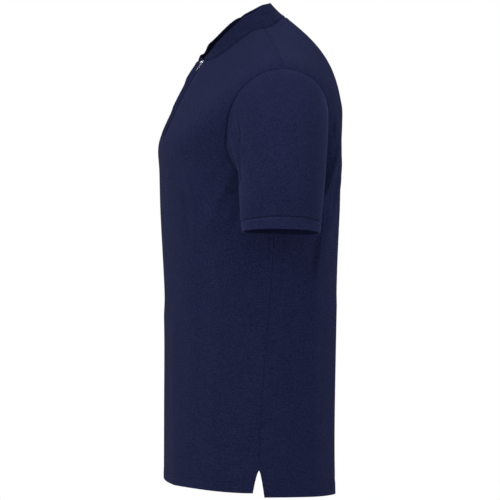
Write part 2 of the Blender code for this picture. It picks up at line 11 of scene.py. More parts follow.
import bpy
import numpy as np
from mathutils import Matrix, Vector


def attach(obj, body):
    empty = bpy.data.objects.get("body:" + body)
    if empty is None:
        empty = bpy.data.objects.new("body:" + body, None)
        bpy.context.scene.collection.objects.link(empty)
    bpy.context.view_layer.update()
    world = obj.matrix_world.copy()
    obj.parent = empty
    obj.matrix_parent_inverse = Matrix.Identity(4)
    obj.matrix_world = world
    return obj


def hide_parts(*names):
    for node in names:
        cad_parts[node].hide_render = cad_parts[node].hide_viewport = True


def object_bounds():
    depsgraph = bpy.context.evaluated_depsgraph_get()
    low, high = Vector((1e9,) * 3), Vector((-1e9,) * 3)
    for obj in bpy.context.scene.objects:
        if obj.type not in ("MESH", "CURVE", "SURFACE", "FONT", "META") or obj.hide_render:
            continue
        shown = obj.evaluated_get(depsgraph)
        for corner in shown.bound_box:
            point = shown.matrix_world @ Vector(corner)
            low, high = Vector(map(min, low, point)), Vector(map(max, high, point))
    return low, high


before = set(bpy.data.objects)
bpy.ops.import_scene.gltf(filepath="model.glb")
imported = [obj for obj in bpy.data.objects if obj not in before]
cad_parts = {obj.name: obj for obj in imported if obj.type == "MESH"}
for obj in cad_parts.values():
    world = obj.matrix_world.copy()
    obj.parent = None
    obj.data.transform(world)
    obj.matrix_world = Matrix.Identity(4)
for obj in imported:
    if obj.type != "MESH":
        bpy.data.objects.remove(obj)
cad_low, cad_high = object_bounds()
MM = 0.001
print("nodes:", ", ".join(sorted(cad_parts)))

# %% [markdown]
# ## The sizes
# A cut-and-sewn shirt is known by its measurements, so they come first. These are the same numbers that the solid
# model was made from, in millimetres, so that the cloth lies where the solids are. The station is the distance from
# the hem along the side seam. Angles go round the body from the centre front, and the wearer's left side is at 90.

# %% Measurements of the body, the sleeves and the collar
BODY_LEVELS = np.array(
    (
        # station, front y, front z, side x, side y, side z, back y, back z, fullness
        (0, -147.0, -669, 193, -29, -674, 113.0, -677, 0.05),  # hem
        (34, -146.8, -636, 192, -29, -640, 112.4, -641, 0.05),  # top of the vents
        (140, -146.6, -534, 190, -24, -534, 113.0, -535, 0.05),  # hip
        (250, -146.8, -424, 189, -15, -424, 115.0, -425, 0.05),  # waist
        (365, -151.0, -314, 193, -7, -309, 117.0, -314, 0.06),  # ribs
        (460, -154.8, -230, 199, -4, -214, 119.8, -224, 0.07),  # underarm
        (550, -156.2, -172, 213, 0, -124, 120.0, -150, 0.07),  # chest
        (640, -152.4, -125, 215, 5, -35, 118.6, -75, 0.07),  # shoulder tip
        (690, -136.0, -88, 171, 2, -6, 107.0, -22, 0.05),  # outer shoulder
        (742, -117.0, -50, 124, -1, 17, 76.6, 24, 0.03),  # inner shoulder
        (794, -94.0, -12, 75, -4.5, 37, 39.6, 58, 0.0),  # neck
    )
)
VENT_TOP, UNDERARM, SHOULDER_TIP, NECK = 34.0, 460.0, 640.0, 794.0
BACK_DROP = 6.5
HEM_LIFT, HEM_LIFT_TOP = 20.0, 140.0  # the hem rides up on the right
VENT_FRONT, VENT_BACK, VENT_POWER = 10.5, 6.5, 0.67
ARMHOLE_FRONT, ARMHOLE_BACK = np.radians(29.0), np.radians(36.5)
ARMHOLE_SQUARE = (1.9, 3.6)  # 2 is an ellipse: the lower half, and the squarer upper half
CUFF_CENTRE = (268.0, -7.0, -264.0)
CUFF_HALF_DEPTH, CUFF_HALF_WIDTH, CUFF_HEIGHT, CUFF_TAPER = 60.0, 57.0, 18.0, 0.97
CUFF_SIDES_DROP, CUFF_UNDER_RISE = (3.0, -1.0), 5.0
CUFF_TILT_OUT, CUFF_TILT_BACK = np.radians(6.5), np.radians(1.6)
SLEEVE_LEAVES = np.array(
    (
        # outwards, backwards, upwards, length at the cuff
        (55, 0, -25, 75),  # underarm
        (90, 78, -85, 130),  # front
        (165, 0, -85, 225),  # top
        (90, -28, -85, 150),  # back
    ),
    float,
)
COLLAR_PLAN = np.array(
    (
        # angle, left height, right height, inwards, forwards, upwards
        (0, 5.5, 6.0, 0.00, -0.55, 1.0),
        (10, 8.6, 9.5, 0.09, -0.42, 1.0),
        (20, 12.4, 22.0, 0.17, -0.28, 1.0),
        (40, 23.8, 29.6, 0.33, -0.02, 1.0),
        (60, 26.0, 29.2, 0.45, 0.25, 1.0),
        (80, 27.8, 31.0, 0.50, 0.56, 1.0),
        (100, 34.6, 38.0, 0.47, 0.81, 1.0),
        (125, 33.4, 36.2, 0.34, 0.96, 1.0),
        (150, 32.4, 35.2, 0.19, 1.05, 1.0),
        (180, 35.0, 35.0, 0.00, 1.13, 1.0),
    )
)
FOLD_RADIUS = 165.0  # turns an angle round the body into millimetres
SLEEVE_RADIUS, SLEEVE_LENGTH, SLEEVE_FULLNESS = 60.0, 190.0, 4.0
CLOTH = 1.0  # the knit, in millimetres
RIB = 2.0  # the ribbed bands, folded double
SEAM_GAP = 0.1
SIDES = (("left", 1), ("right", -1))

# %% [markdown]
# ## Curves and the body's surface
# A worn shirt is a tube that changes its ring from level to level. Blender could loft it from curve objects, but a
# formula lets every piece read the same surface: the panels, their seams, the stitches and the zip all ask it where
# the cloth is, and so they agree to a tenth of a millimetre.

# %% Spline, smooth step and normals


def spline(stations, values, at):
    """Natural cubic spline: between two stations the values are mixed by distance, plus a cubic bend at each end."""
    steps = np.diff(stations)
    count = len(stations)
    system = np.eye(count)
    bend = np.zeros_like(values)
    for i in range(1, count - 1):
        system[i, i - 1 : i + 2] = steps[i - 1], 2 * (steps[i - 1] + steps[i]), steps[i]
        bend[i] = 6 * ((values[i + 1] - values[i]) / steps[i] - (values[i] - values[i - 1]) / steps[i - 1])
    bend = np.linalg.solve(system, bend)
    span = np.clip(np.searchsorted(stations, at) - 1, 0, count - 2)
    width = steps[span][..., None]
    low = (stations[span + 1] - at)[..., None] / width
    high = 1 - low
    straight = low * values[span] + high * values[span + 1]
    return straight + ((low**3 - low) * bend[span] + (high**3 - high) * bend[span + 1]) * width**2 / 6


def blend(share):
    """A smooth step from 0 to 1: three times the square less twice the cube."""
    share = np.clip(share, 0, 1)
    return share * share * (3 - 2 * share)


def unit(vectors):
    """Each vector divided by its own length."""
    return vectors / np.linalg.norm(vectors, axis=-1, keepdims=True)


def normals(surface, u, v, hand=1.0):
    """The cross product of a surface's slope along u and its slope along v, made one long, turned out by hand."""
    du, dv = 1e-3, 1e-2
    across = surface(u + du, v) - surface(u - du, v)
    along = surface(u, v + dv) - surface(u, v - dv)
    return unit(np.cross(across, along) * hand)


# %% The body without folds


def body_rings(station):
    """The eight ring sizes at each station, read from the splines through BODY_LEVELS."""
    return np.moveaxis(spline(BODY_LEVELS[:, 0], BODY_LEVELS[:, 1:], np.asarray(station, float)), -1, 0)


def plain_body(angle, station):
    """A ring through a front, a side and a back point.

    The width is the side's times the sine of the angle, and the depth is the front's or back's times its cosine.
    Both swell by fullness times the square of the sine of twice the angle, which squares the ring's corners.
    The height goes from the side's to the front's or back's by a smooth step of the cosine. On the right, the hem's
    rows are lifted by the square of the sine.
    """
    angle, station = np.broadcast_arrays(np.asarray(angle, float), np.asarray(station, float))
    front_y, front_z, side_x, side_y, side_z, back_y, back_z, fullness = body_rings(station)
    swell = 1 + fullness * np.sin(2 * angle) ** 2
    reach = np.abs(np.cos(angle))
    at_front = np.cos(angle) > 0
    x = side_x * np.sin(angle) * swell
    y = side_y + (np.where(at_front, front_y, back_y) - side_y) * reach * swell
    z = side_z + (np.where(at_front, front_z, back_z) - side_z) * blend(reach ** (1 + 3 * fullness))
    z = z + HEM_LIFT * np.clip(-np.sin(angle), 0, 1) ** 2 * blend(1 - station / HEM_LIFT_TOP)
    return np.stack([x, y, z], -1)


# %% [markdown]
# ## Folds
# A knit that hangs from the shoulders makes long soft drapes, and short drags where it is pulled, as under an arm.
# A cloth simulation could find some of them, but this shirt holds a shape that it was filled out to, and the folds
# have known places. So each is placed one by one: a line on the cloth with a width, a height and a slight bow. The
# first table has the broad folds that the solid model has too, and the second the finer ones.

# %% Soft ridges and troughs
BROAD_FOLDS = (
    # angle, station, angle, station, half width, height
    (158, 545, 133, 420, 15, 3.5),
    (133, 420, 122, 300, 15, 3.2),
    (132, 560, 121, 455, 17, -7.0),
    (-157, 540, -135, 415, 16, 3.5),
    (-131, 555, -120, 450, 17, -6.5),
    (66, 500, 52, 405, 13, 3.0),
    (-64, 505, -49, 420, 14, 3.0),
    (48, 360, 44, 20, 24, -3.0),
    (-42, 330, -48, 10, 22, -3.0),
    (17, 240, 21, -10, 20, 2.4),
    (-15, 260, -19, 0, 22, 2.2),
    (112, 330, 118, 0, 22, -3.0),
    (-108, 300, -114, 0, 22, -3.2),
    (149, 280, 152, -10, 22, 2.6),
    (-152, 260, -148, -10, 24, 2.6),
    (180, 560, 176, 120, 24, -2.4),
    (-5, 645, -9, 792, 10, 1.5),
    (-7, 700, -9, 792, 10, 1.5),
    (-9.5, 760, -10.5, 796, 12, 3.0),
    (5, 635, 7.5, 785, 9, -2.4),
)
FINE_FOLDS = (
    # angle, station, angle, station, half width, height, bow
    # behind the left arm, running down from the shoulder blade
    (147, 580, 122.5, 404, 2.7, 7.0, 5),
    (127.5, 476, 121.5, 290, 3.0, 4.6, 2),
    (124, 420, 136, 588, 7.0, -9.0, 0.5),
    (148, 530, 130, 385, 6.0, -3.8, 4),
    (131, 600, 140, 545, 3.2, -2.6, -2),
    (156, 562, 148, 478, 8.0, -1.6, 1),
    (127.5, 440, 120, 300, 3.2, 2.0, 3),
    (124, 405, 118, 310, 4.5, -1.8, 3),
    (152, 470, 141, 360, 9.0, 1.2, -5),
    # behind the right arm
    (-148, 556, -127, 410, 3.1, 5.6, -4),
    (-131, 465, -125, 305, 3.4, 3.8, -2),
    (-128, 420, -139, 566, 7.8, -6.8, 0.5),
    (-150, 512, -134, 400, 7.0, -2.2, -4),
    (-126, 415, -121.5, 310, 5.0, 1.5, 2),
    (-122, 390, -117, 305, 5.5, -1.3, -3),
    # drags that fan out from the left armhole across the front
    (66, 478, 55, 432, 4.5, 1.3, 2),
    (68, 455, 57, 398, 5.0, 1.4, -3),
    (72, 440, 64, 372, 5.0, -1.3, 3),
    (61, 520, 48, 486, 5.5, 1.1, 2),
    (37.5, 510, 42.5, 400, 3.8, 2.6, -4),
    (34.5, 490, 38.5, 400, 4.2, -2.3, 3),
    # and from the right one
    (-65, 482, -53, 430, 5.0, 1.3, -2),
    (-70, 452, -60, 385, 5.0, 1.4, 3),
    (-62, 526, -47, 498, 6.0, 1.1, -2),
    (-36, 492, -42, 402, 5.5, 1.3, 4),
    # below the left arm beside the side seam
    (87.6, 408, 88.2, 326, 1.8, -1.2, 0.5),
    (92.3, 404, 92.7, 332, 1.8, -1.2, -0.5),
    (86.2, 398, 86.9, 345, 2.2, 1.2, 1),
    (96.0, 384, 97.5, 318, 2.8, -1.4, 1),
    (82, 384, 80, 312, 3.0, 1.2, 2),
    (-87, 392, -88, 350, 3.2, 0.8, -1),
    (-94, 380, -96, 330, 3.2, 0.8, 1),
    # long shallow drapes to the hem
    (61, 300, 58, 60, 9.0, 0.8, 6),
    (32, 260, 29, 30, 11.0, -0.8, -6),
    (72, 240, 76, 20, 8.0, -0.7, -5),
    (134, 150, 135.5, 70, 5.0, 0.8, 2),
    (127, 250, 130, 50, 9.0, 0.8, 6),
    (166, 300, 163, 40, 11.0, -0.8, -5),
    (-58, 290, -61, 40, 9.0, 0.8, -6),
    (-30, 240, -27, 20, 11.0, -0.7, 6),
    (-74, 230, -70, 20, 8.0, -0.7, 4),
    (-128, 260, -131, 40, 9.0, 0.8, -6),
    (-165, 280, -168, 30, 11.0, -0.8, 5),
    (3, 300, -4, 60, 14.0, 0.7, 5),
    # across the upper back and the chest
    (170, 640, 146, 600, 12.0, 0.9, 8),
    (163, 592, 155, 508, 10.0, -2.2, 1),
    (-172, 632, -147, 596, 12.0, 0.9, -8),
    (20, 610, 42, 560, 10.0, 0.8, 6),
    (-22, 604, -44, 556, 10.0, 0.8, -6),
    # from the foot of the zip
    (4, 634, 12, 585, 5.0, 0.7, 2),
    (-4, 634, -13, 588, 5.0, 0.7, -2),
)


FADE_IN, FADE_OUT = 0.35, 0.45  # shares of a bowed fold's length
ZIP_RECESS, RECESS_HALF_WIDTH = 3.4, 9.0
RECESS_BELOW, RECESS_RISE = 25, 40  # it starts this far below the zip's foot, and is whole after this rise


def fold(across, along, start, end, half_width, height, bow=0.0):
    """A soft ridge, or a trough where the height is negative, along a line from start to end.

    Across the line it is the height times e to the minus square of distance over half width. The line bows aside
    by a parabola. Where it has a bow, the fold also widens from three to five quarters of its half width, and fades
    in and out along its length by smooth steps.
    """
    line = np.subtract(end, start)
    share = ((across - start[0]) * line[0] + (along - start[1]) * line[1]) / (line @ line)
    held = np.clip(share, 0, 1)
    if bow == 0:
        distance = np.hypot(across - start[0] - held * line[0], along - start[1] - held * line[1])
        return height * np.exp(-((distance / half_width) ** 2))
    aside = ((across - start[0]) * line[1] - (along - start[1]) * line[0]) / np.linalg.norm(line)
    distance = aside - bow * 4 * held * (1 - held)
    width = half_width * (0.75 + 0.5 * held)
    return height * blend(share / FADE_IN) * blend((1 - share) / FADE_OUT) * np.exp(-((distance / width) ** 2))


def body_relief(angle, station):
    """How far the cloth stands out from the plain body: its folds, less the recess that the zip lies in."""
    angle, station = np.broadcast_arrays(np.asarray(angle, float), np.asarray(station, float))
    relief = np.zeros(angle.shape)
    for angle_0, station_0, angle_1, station_1, *shape in BROAD_FOLDS + FINE_FOLDS:
        across = np.radians((np.degrees(angle) - angle_0 + 180) % 360 - 180) * FOLD_RADIUS
        end = (np.radians(angle_1 - angle_0) * FOLD_RADIUS, station_1)
        relief += fold(across, station, (0.0, station_0), end, *shape)
    aside = body_rings(station)[2] * np.sin(angle) / RECESS_HALF_WIDTH
    opens = blend((station - SHOULDER_TIP + RECESS_BELOW) / RECESS_RISE)
    return relief - ZIP_RECESS * (np.cos(angle) > 0) * opens * np.exp(-(aside**2))


def body(angle, station, depth=0.0):
    """A point of the body cloth, moved out along the plain body's normal by its relief and in by depth."""
    out = normals(plain_body, angle, station)
    return plain_body(angle, station) + out * (body_relief(angle, station) - depth)[..., None]


# %% [markdown]
# ## From a grid to a wall of cloth
# A single sheet of faces has no thickness, and its edges look like paper. Solidify could thicken it, but here the
# hem is thicker than the cloth and the bands have rounded edges, so each piece has its own inner grid. One builder
# joins the outer grid, the inner grid turned round, and a rim face on every edge that only one face has. It also
# keeps a map of the flat cloth in millimetres, so that the knit's loops follow the cloth and not the room.

# %% Wall builder
FLAT_MAP = "flat cloth"


def grid_faces(index, keep=None):
    """The four corner numbers of each cell of a grid, without the cells that keep leaves out."""
    cells = np.stack([index[:-1, :-1], index[:-1, 1:], index[1:, 1:], index[1:, :-1]], -1)
    return cells[keep] if keep is not None else cells.reshape(-1, 4)


def closed_index(shape):
    """Numbers for the points of a grid whose last column is its first one again."""
    index = np.arange(shape[0] * shape[1]).reshape(shape)
    index[:, -1] = index[:, 0]
    return index


def flat_map(points):
    """Where each grid point lies on the flat cloth: its distance along its row, and along its column."""
    across = np.pad(np.linalg.norm(np.diff(points, axis=1), axis=-1).cumsum(1), ((0, 0), (1, 0)))
    along = np.pad(np.linalg.norm(np.diff(points, axis=0), axis=-1).cumsum(0), ((1, 0), (0, 0)))
    middle = across[:, [across.shape[1] // 2]]
    return np.stack([across - middle, along], -1)


def make_piece(name, points, faces, looks, corner_map=None, node=None, slot=None, body_name="shirt", kind=None):
    """Puts points and faces into a mesh object at the origin, drops unused points, and lets it ride on its body."""
    used, faces = np.unique(faces, return_inverse=True)
    faces = faces.reshape(-1, 4)
    mesh = bpy.data.meshes.new(name)
    mesh.from_pydata((points[used] * MM).tolist(), [], faces.tolist())
    if corner_map is not None:
        layer = mesh.uv_layers.new(name=FLAT_MAP)
        layer.data.foreach_set("uv", corner_map.reshape(-1).astype(np.float32))
    mesh.polygons.foreach_set("use_smooth", np.ones(len(mesh.polygons), bool))
    for look in looks if isinstance(looks, tuple) else (looks,):
        mesh.materials.append(look)
    if kind is not None:
        mesh.polygons.foreach_set("material_index", kind.astype(np.int32))
    mesh.update()
    made = bpy.data.objects.new(name, mesh)
    bpy.context.collection.objects.link(made)
    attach(made, body_name)
    if node:
        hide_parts(node)
    print(f"{name}: {len(mesh.polygons)} faces")
    return made


def make_wall(name, outer, inner, looks, index=None, keep=None, hand=1.0, **place):
    """A closed wall from an outer and an inner grid, with a rim where the grid ends."""
    count = outer.shape[0] * outer.shape[1]
    own = np.arange(count).reshape(outer.shape[:2])
    index = own if index is None else index
    faces, corners = grid_faces(index, keep), grid_faces(own, keep)
    if hand < 0:
        faces, corners = faces[:, ::-1], corners[:, ::-1]
    edges = np.stack([faces, np.roll(faces, -1, 1)], -1).reshape(-1, 2)
    edge_corners = np.stack([corners, np.roll(corners, -1, 1)], -1).reshape(-1, 2)
    key = edges.min(1) * count + edges.max(1)
    _, first, times = np.unique(key, return_index=True, return_counts=True)
    free, free_corners = edges[first[times == 1]], edge_corners[first[times == 1]]
    rim = np.stack([free[:, 1], free[:, 0], free[:, 0] + count, free[:, 1] + count], 1)
    quads = np.concatenate([faces, faces[:, ::-1] + count, rim])
    flat = flat_map(outer).reshape(-1, 2)
    ends = free_corners[:, [1, 0, 0, 1]]
    corner_map = flat[np.concatenate([corners, corners[:, ::-1], ends])]
    points = np.concatenate([outer.reshape(-1, 3), inner.reshape(-1, 3)])
    return make_piece(name, points, quads, looks, corner_map, **place)


def distance_to(points, line):
    """The distance from each point to the nearest of a line's points, some thousands at a time."""
    flat = points.reshape(-1, 3)
    parts = []
    for part in np.array_split(flat, max(1, len(flat) // 3000)):
        square = (part**2).sum(1)[:, None] + (line**2).sum(1) - 2 * part @ line.T
        parts.append(np.sqrt(np.maximum(square.min(1), 0)))
    return np.concatenate(parts).reshape(points.shape[:-1])


SEAM_HALF_WIDTH, PUFF_ASIDE, PUFF_HALF_WIDTH = 1.3, 4.2, 2.4


def seam_shape(distance, deep=0.8, puff=0.35):
    """The cloth beside a seam: it dips into the seam, and stands up a little next to it over its turned edge."""
    valley = -deep * np.exp(-((distance / SEAM_HALF_WIDTH) ** 2))
    return valley + puff * np.exp(-(((distance - PUFF_ASIDE) / PUFF_HALF_WIDTH) ** 2))


def rounded(distance, radius):
    """How far a rounded edge has drawn in, 0 to 1: one less the height of a quarter circle."""
    near = np.clip(1 - distance / radius, 0, 1)
    return 1 - np.sqrt(1 - near**2)


def spread(start, end, count, near_ends=0.5, power=2.2):
    """Numbers from start to end that crowd towards both ends by a power of the distance from the middle."""
    share = np.linspace(-1, 1, count)
    eased = share * (1 - near_ends) + near_ends * np.sign(share) * (1 - (1 - np.abs(share)) ** power)
    return start + (end - start) * (eased + 1) / 2


# %% [markdown]
# ## Finishes
# From two metres a knit looks flat and matte, with a faint mottle where the yarn took the dye unevenly and a soft
# sheen where it turns away, because fibres stand off its surface. Close up it is rows of small V-shaped loops. An
# image texture would repeat and blur, so the loops are sums of sines read from the flat map, and the mottle is noise
# on object coordinates.
# On the sleeves and the cuffs the base colour also carries a painted rim highlight where the cloth turns away.

# %% Node helpers


def start_look(name, colour, roughness, metallic=0.0):
    """A new material with a Principled shader, and its tree."""
    made = bpy.data.materials.new(name)
    made.use_nodes = True
    shader = made.node_tree.nodes["Principled BSDF"]
    shader.inputs["Base Color"].default_value = (*colour, 1.0)
    shader.inputs["Roughness"].default_value = roughness
    shader.inputs["Metallic"].default_value = metallic
    made.diffuse_color = (*colour, 1.0)
    return made, made.node_tree, shader


def calc(tree, operation, *values):
    """One Math node. Each value is a number or another node's output."""
    made = tree.nodes.new("ShaderNodeMath")
    made.operation = operation
    for socket, value in zip(made.inputs, values):
        if isinstance(value, bpy.types.NodeSocket):
            tree.links.new(value, socket)
        else:
            socket.default_value = value
    return made.outputs[0]


def flat_cloth(tree):
    """The flat map that make_wall keeps, in millimetres."""
    source = tree.nodes.new("ShaderNodeUVMap")
    source.uv_map = FLAT_MAP
    return source.outputs["UV"]


def noise(tree, scale, detail=3.0, roughness=0.55, flat=False, stretch=(1, 1, 1)):
    """Smooth noise from about 0 to 1. Its scale counts spots in a metre, or in a millimetre on the flat map."""
    source = flat_cloth(tree) if flat else tree.nodes.new("ShaderNodeTexCoord").outputs["Object"]
    mapping = tree.nodes.new("ShaderNodeMapping")
    mapping.inputs["Scale"].default_value = stretch
    made = tree.nodes.new("ShaderNodeTexNoise")
    made.inputs["Scale"].default_value = scale
    made.inputs["Detail"].default_value = detail
    made.inputs["Roughness"].default_value = roughness
    tree.links.new(source, mapping.inputs["Vector"])
    tree.links.new(mapping.outputs["Vector"], made.inputs["Vector"])
    return made.outputs["Fac"]


def shade_between(tree, shader, share, dark, light, reach=0.2, rim=0.0):
    """The base colour goes from dark to light as the share passes from reach below one half to reach above it.

    A painted rim highlight lightens it where the surface turns away from the eye: by rim times the
    fifth power of how far it turns away.
    """
    ramp = tree.nodes.new("ShaderNodeValToRGB")
    ramp.color_ramp.elements[0].position = 0.5 - reach
    ramp.color_ramp.elements[0].color = (*dark, 1.0)
    ramp.color_ramp.elements[1].position = 0.5 + reach
    ramp.color_ramp.elements[1].color = (*light, 1.0)
    tree.links.new(share, ramp.inputs["Fac"])
    colour = ramp.outputs["Color"]
    if rim:
        away = tree.nodes.new("ShaderNodeLayerWeight").outputs["Facing"]
        lighter = tree.nodes.new("ShaderNodeVectorMath")
        lighter.operation = "SCALE"
        tree.links.new(colour, lighter.inputs[0])
        # painted rim highlight: the colour is scaled up where Facing says the surface turns away from the eye
        painted_highlight = calc(tree, "MULTIPLY_ADD", calc(tree, "POWER", away, 5.0), rim, 1.0)
        tree.links.new(painted_highlight, lighter.inputs["Scale"])
        colour = lighter.outputs[0]
    tree.links.new(colour, shader.inputs["Base Color"])


def raise_surface(tree, shader, height, deep_mm):
    """Bump by a height between 0 and 1 that stands for this many millimetres."""
    bump = tree.nodes.new("ShaderNodeBump")
    bump.inputs["Strength"].default_value = 1.0
    bump.inputs["Distance"].default_value = deep_mm * MM
    tree.links.new(height, bump.inputs["Height"])
    tree.links.new(bump.outputs["Normal"], shader.inputs["Normal"])


def flat_place(tree):
    """Across and along on the flat cloth, in millimetres."""
    place = tree.nodes.new("ShaderNodeSeparateXYZ")
    tree.links.new(flat_cloth(tree), place.inputs[0])
    return place.outputs["X"], place.outputs["Y"]


# %% Knitted cloth and ribbed bands
KNIT_LOOP, RIB_LOOP = (0.9, 0.75, 0.16), (0.8, 0.75, 0.22)  # width and height of a loop and its depth, millimetres
LEG_SLANT = 1.3  # courses that a leg rises over the width of its column
RIDGE_PITCH, LOOP_SHARE, RIDGE_SHARE = 1.7, 0.35, 0.65  # a rib's ridges, and how its height is shared out
FIBRE_SHARE = 0.5
DYE_SHARE, CLOUD_SHARE, YARN_SHARE = 0.76, 0.07, 0.17  # the mottle: small spots, wide clouds and long streaks
# SHEEN is the shader's own sheen; the next number is the strength of a painted rim highlight on the sleeves and cuffs
SHEEN, PAINTED_RIM_LIGHT = 0.03, 1.2
KNIT_DARK, KNIT_LIGHT = (0.0078, 0.0099, 0.0335), (0.0180, 0.0218, 0.0645)


def loops(tree, across, along, wale, course):
    """The face of a knit: each column has two slanting legs, and each leg is a row of short rounded strokes.

    The stroke is the sine of half a turn of its place in the course, slanted by its distance from the column's
    middle, times one less the square of its distance from the middle of the leg.
    """
    side = calc(tree, "ABSOLUTE", calc(tree, "SUBTRACT", calc(tree, "FRACT", calc(tree, "DIVIDE", across, wale)), 0.5))
    leg = calc(tree, "MULTIPLY", calc(tree, "SUBTRACT", side, 0.25), 4.0)
    leg = calc(tree, "SUBTRACT", 1.0, calc(tree, "MULTIPLY", leg, leg))
    slant = calc(tree, "ADD", calc(tree, "DIVIDE", along, course), calc(tree, "MULTIPLY", side, LEG_SLANT))
    stroke = calc(tree, "SINE", calc(tree, "MULTIPLY", calc(tree, "FRACT", slant), np.pi))
    return calc(tree, "MULTIPLY", leg, stroke)


def knit_look(name, dark, light, wale, course, deep, rib=0.0, rim=0.0):
    """A knit with mottled dye, loops, stray fibres and a soft sheen. A rib adds a ridge every rib millimetres, and a
    rim a painted rim highlight.
    """
    made, tree, shader = start_look(name, light, 0.95)
    shader.inputs["Specular IOR Level"].default_value = 0.02
    shader.inputs["Sheen Weight"].default_value = SHEEN
    shader.inputs["Sheen Roughness"].default_value = 0.28
    shader.inputs["Sheen Tint"].default_value = (0.55, 0.62, 1.0, 1.0)
    across, along = flat_place(tree)
    height = loops(tree, across, along, wale, course)
    if rib:
        ridge = calc(tree, "ABSOLUTE", calc(tree, "SINE", calc(tree, "MULTIPLY", across, np.pi / rib)))
        height = calc(tree, "MULTIPLY", height, LOOP_SHARE)
        height = calc(tree, "ADD", height, calc(tree, "MULTIPLY", ridge, RIDGE_SHARE))
    fibres = noise(tree, 2200.0, 2.0)
    height = calc(tree, "ADD", height, calc(tree, "MULTIPLY", fibres, FIBRE_SHARE))
    raise_surface(tree, shader, height, deep)
    dye = calc(tree, "MULTIPLY", noise(tree, 480.0, 3.0, 0.75), DYE_SHARE)
    clouds = calc(tree, "MULTIPLY", noise(tree, 34.0, 2.0), CLOUD_SHARE)
    yarn = calc(tree, "MULTIPLY", noise(tree, 0.55, 2.0, 0.5, True, (0.12, 1.0, 1.0)), YARN_SHARE)
    shade_between(tree, shader, calc(tree, "ADD", calc(tree, "ADD", dye, clouds), yarn), dark, light, 0.12, rim)
    return made


knit = knit_look("knit", KNIT_DARK, KNIT_LIGHT, *KNIT_LOOP)
# The sleeves and the cuffs get a painted rim highlight: their colour is lightened where the cloth turns away from the
# eye.
sleeve_knit_painted_rim = knit_look("sleeve knit painted rim", KNIT_DARK, KNIT_LIGHT, *KNIT_LOOP, rim=PAINTED_RIM_LIGHT)
ribbed = knit_look("rib", (0.0066, 0.0082, 0.0272), (0.0148, 0.0178, 0.0515), *RIB_LOOP, RIDGE_PITCH)
cuff_rib_painted_rim = knit_look("cuff rib painted rim", (0.0092, 0.0116, 0.0385), (0.0200, 0.0245, 0.0710), *RIB_LOOP, RIDGE_PITCH, PAINTED_RIM_LIGHT)

# %% Thread, zip tape, teeth and metals


def thread_look(name, colour, scale):
    """Twisted polyester dyed to match the cloth: it shines a little more, with fine noise for the twist."""
    made, tree, shader = start_look(name, colour, 0.85)
    shader.inputs["Specular IOR Level"].default_value = 0.08
    share = noise(tree, scale, 2.0)
    shade_between(tree, shader, share, tuple(c * 0.75 for c in colour), tuple(c * 1.2 for c in colour))
    raise_surface(tree, shader, share, 0.12)
    return made


def tape_look():
    """Woven zip tape: fine diagonal lines 0.8 mm apart that turn back every 2.5 mm, as in a herringbone."""
    # The tape is dark navy set near black: partly its own colour, partly painted shade of the groove between the zip's
    # lips.
    made, tree, shader = start_look("tape", (0.0030, 0.0036, 0.0085), 0.9)
    across, along = flat_place(tree)
    turn = calc(tree, "PINGPONG", along, 2.5)
    lines = calc(tree, "SINE", calc(tree, "MULTIPLY", calc(tree, "ADD", across, turn), 2 * np.pi / 0.8))
    lines = calc(tree, "MULTIPLY_ADD", lines, 0.5, 0.5)
    shader.inputs["Specular IOR Level"].default_value = 0.05
    shade_between(tree, shader, lines, (0.0020, 0.0024, 0.0055), (0.0040, 0.0048, 0.0110))
    raise_surface(tree, shader, lines, 0.10)
    return made


def metal_look(name, dark, light, low_rough, high_rough, metallic=1.0):
    """Plated metal: small colour changes, and a roughness that goes up and down with handling marks."""
    made, tree, shader = start_look(name, light, low_rough, metallic)
    marks = noise(tree, 900.0, 5.0, 0.65, stretch=(1.0, 1.0, 0.25))
    shade_between(tree, shader, marks, dark, light)
    rough = tree.nodes.new("ShaderNodeMapRange")
    rough.inputs["To Min"].default_value = low_rough
    rough.inputs["To Max"].default_value = high_rough
    tree.links.new(marks, rough.inputs["Value"])
    tree.links.new(rough.outputs["Result"], shader.inputs["Roughness"])
    raise_surface(tree, shader, marks, 0.03)
    return made


# The sewing thread is its own navy set darker than the cloth, as painted shade of the dent its stitches pull into the
# cloth.
thread = thread_look("sewing thread", (0.0085, 0.0105, 0.0340), 1800.0)
overlock = thread_look("overlock thread", (0.0100, 0.0125, 0.0400), 1200.0)
tape = tape_look()
# The coil is likewise set near black: its own dark colour, and painted shade of the groove between the lips.
coil = metal_look("zip coil", (0.0030, 0.0034, 0.0060), (0.0060, 0.0068, 0.0120), 0.45, 0.65, 0.0)
bright = metal_look("bright metal", (0.50, 0.52, 0.56), (0.74, 0.76, 0.80), 0.16, 0.34)
dark_metal = metal_look("dark metal", (0.030, 0.031, 0.036), (0.055, 0.056, 0.064), 0.30, 0.50)

# %% [markdown]
# ## Where the panels end
# The side seam and the shoulder seam lie at a quarter turn. Between underarm and shoulder tip the armhole is cut
# back from it, as part of a rounded square, and below the top of the vent both panels draw back from each other.

# %% Panel edges
HEM_TOP, VENT_ROWS_TOP = 23, 42  # stations: above the turned-up hem, and above the vents' fine rows


def arc_to_angle(angle, station, length):
    """The angle round the body that covers a length along the ring: the length over the ring's slope."""
    step = plain_body(angle + 1e-3, station) - plain_body(angle - 1e-3, station)
    return length * 2e-3 / np.linalg.norm(step, axis=-1)


def centre_angle(station, aside):
    """The angle at which the front lies this far from the centre line: the arc sine of aside over half the width."""
    return np.arcsin(aside / body_rings(station)[2])


def armhole_cut(share):
    """One less a power of the share of the half height, brought back by the same power: an ellipse, or squarer."""
    square = np.where(share < 0, ARMHOLE_SQUARE[0], ARMHOLE_SQUARE[1])
    return np.clip(1 - np.abs(share) ** square, 0, 1) ** (1 / square)


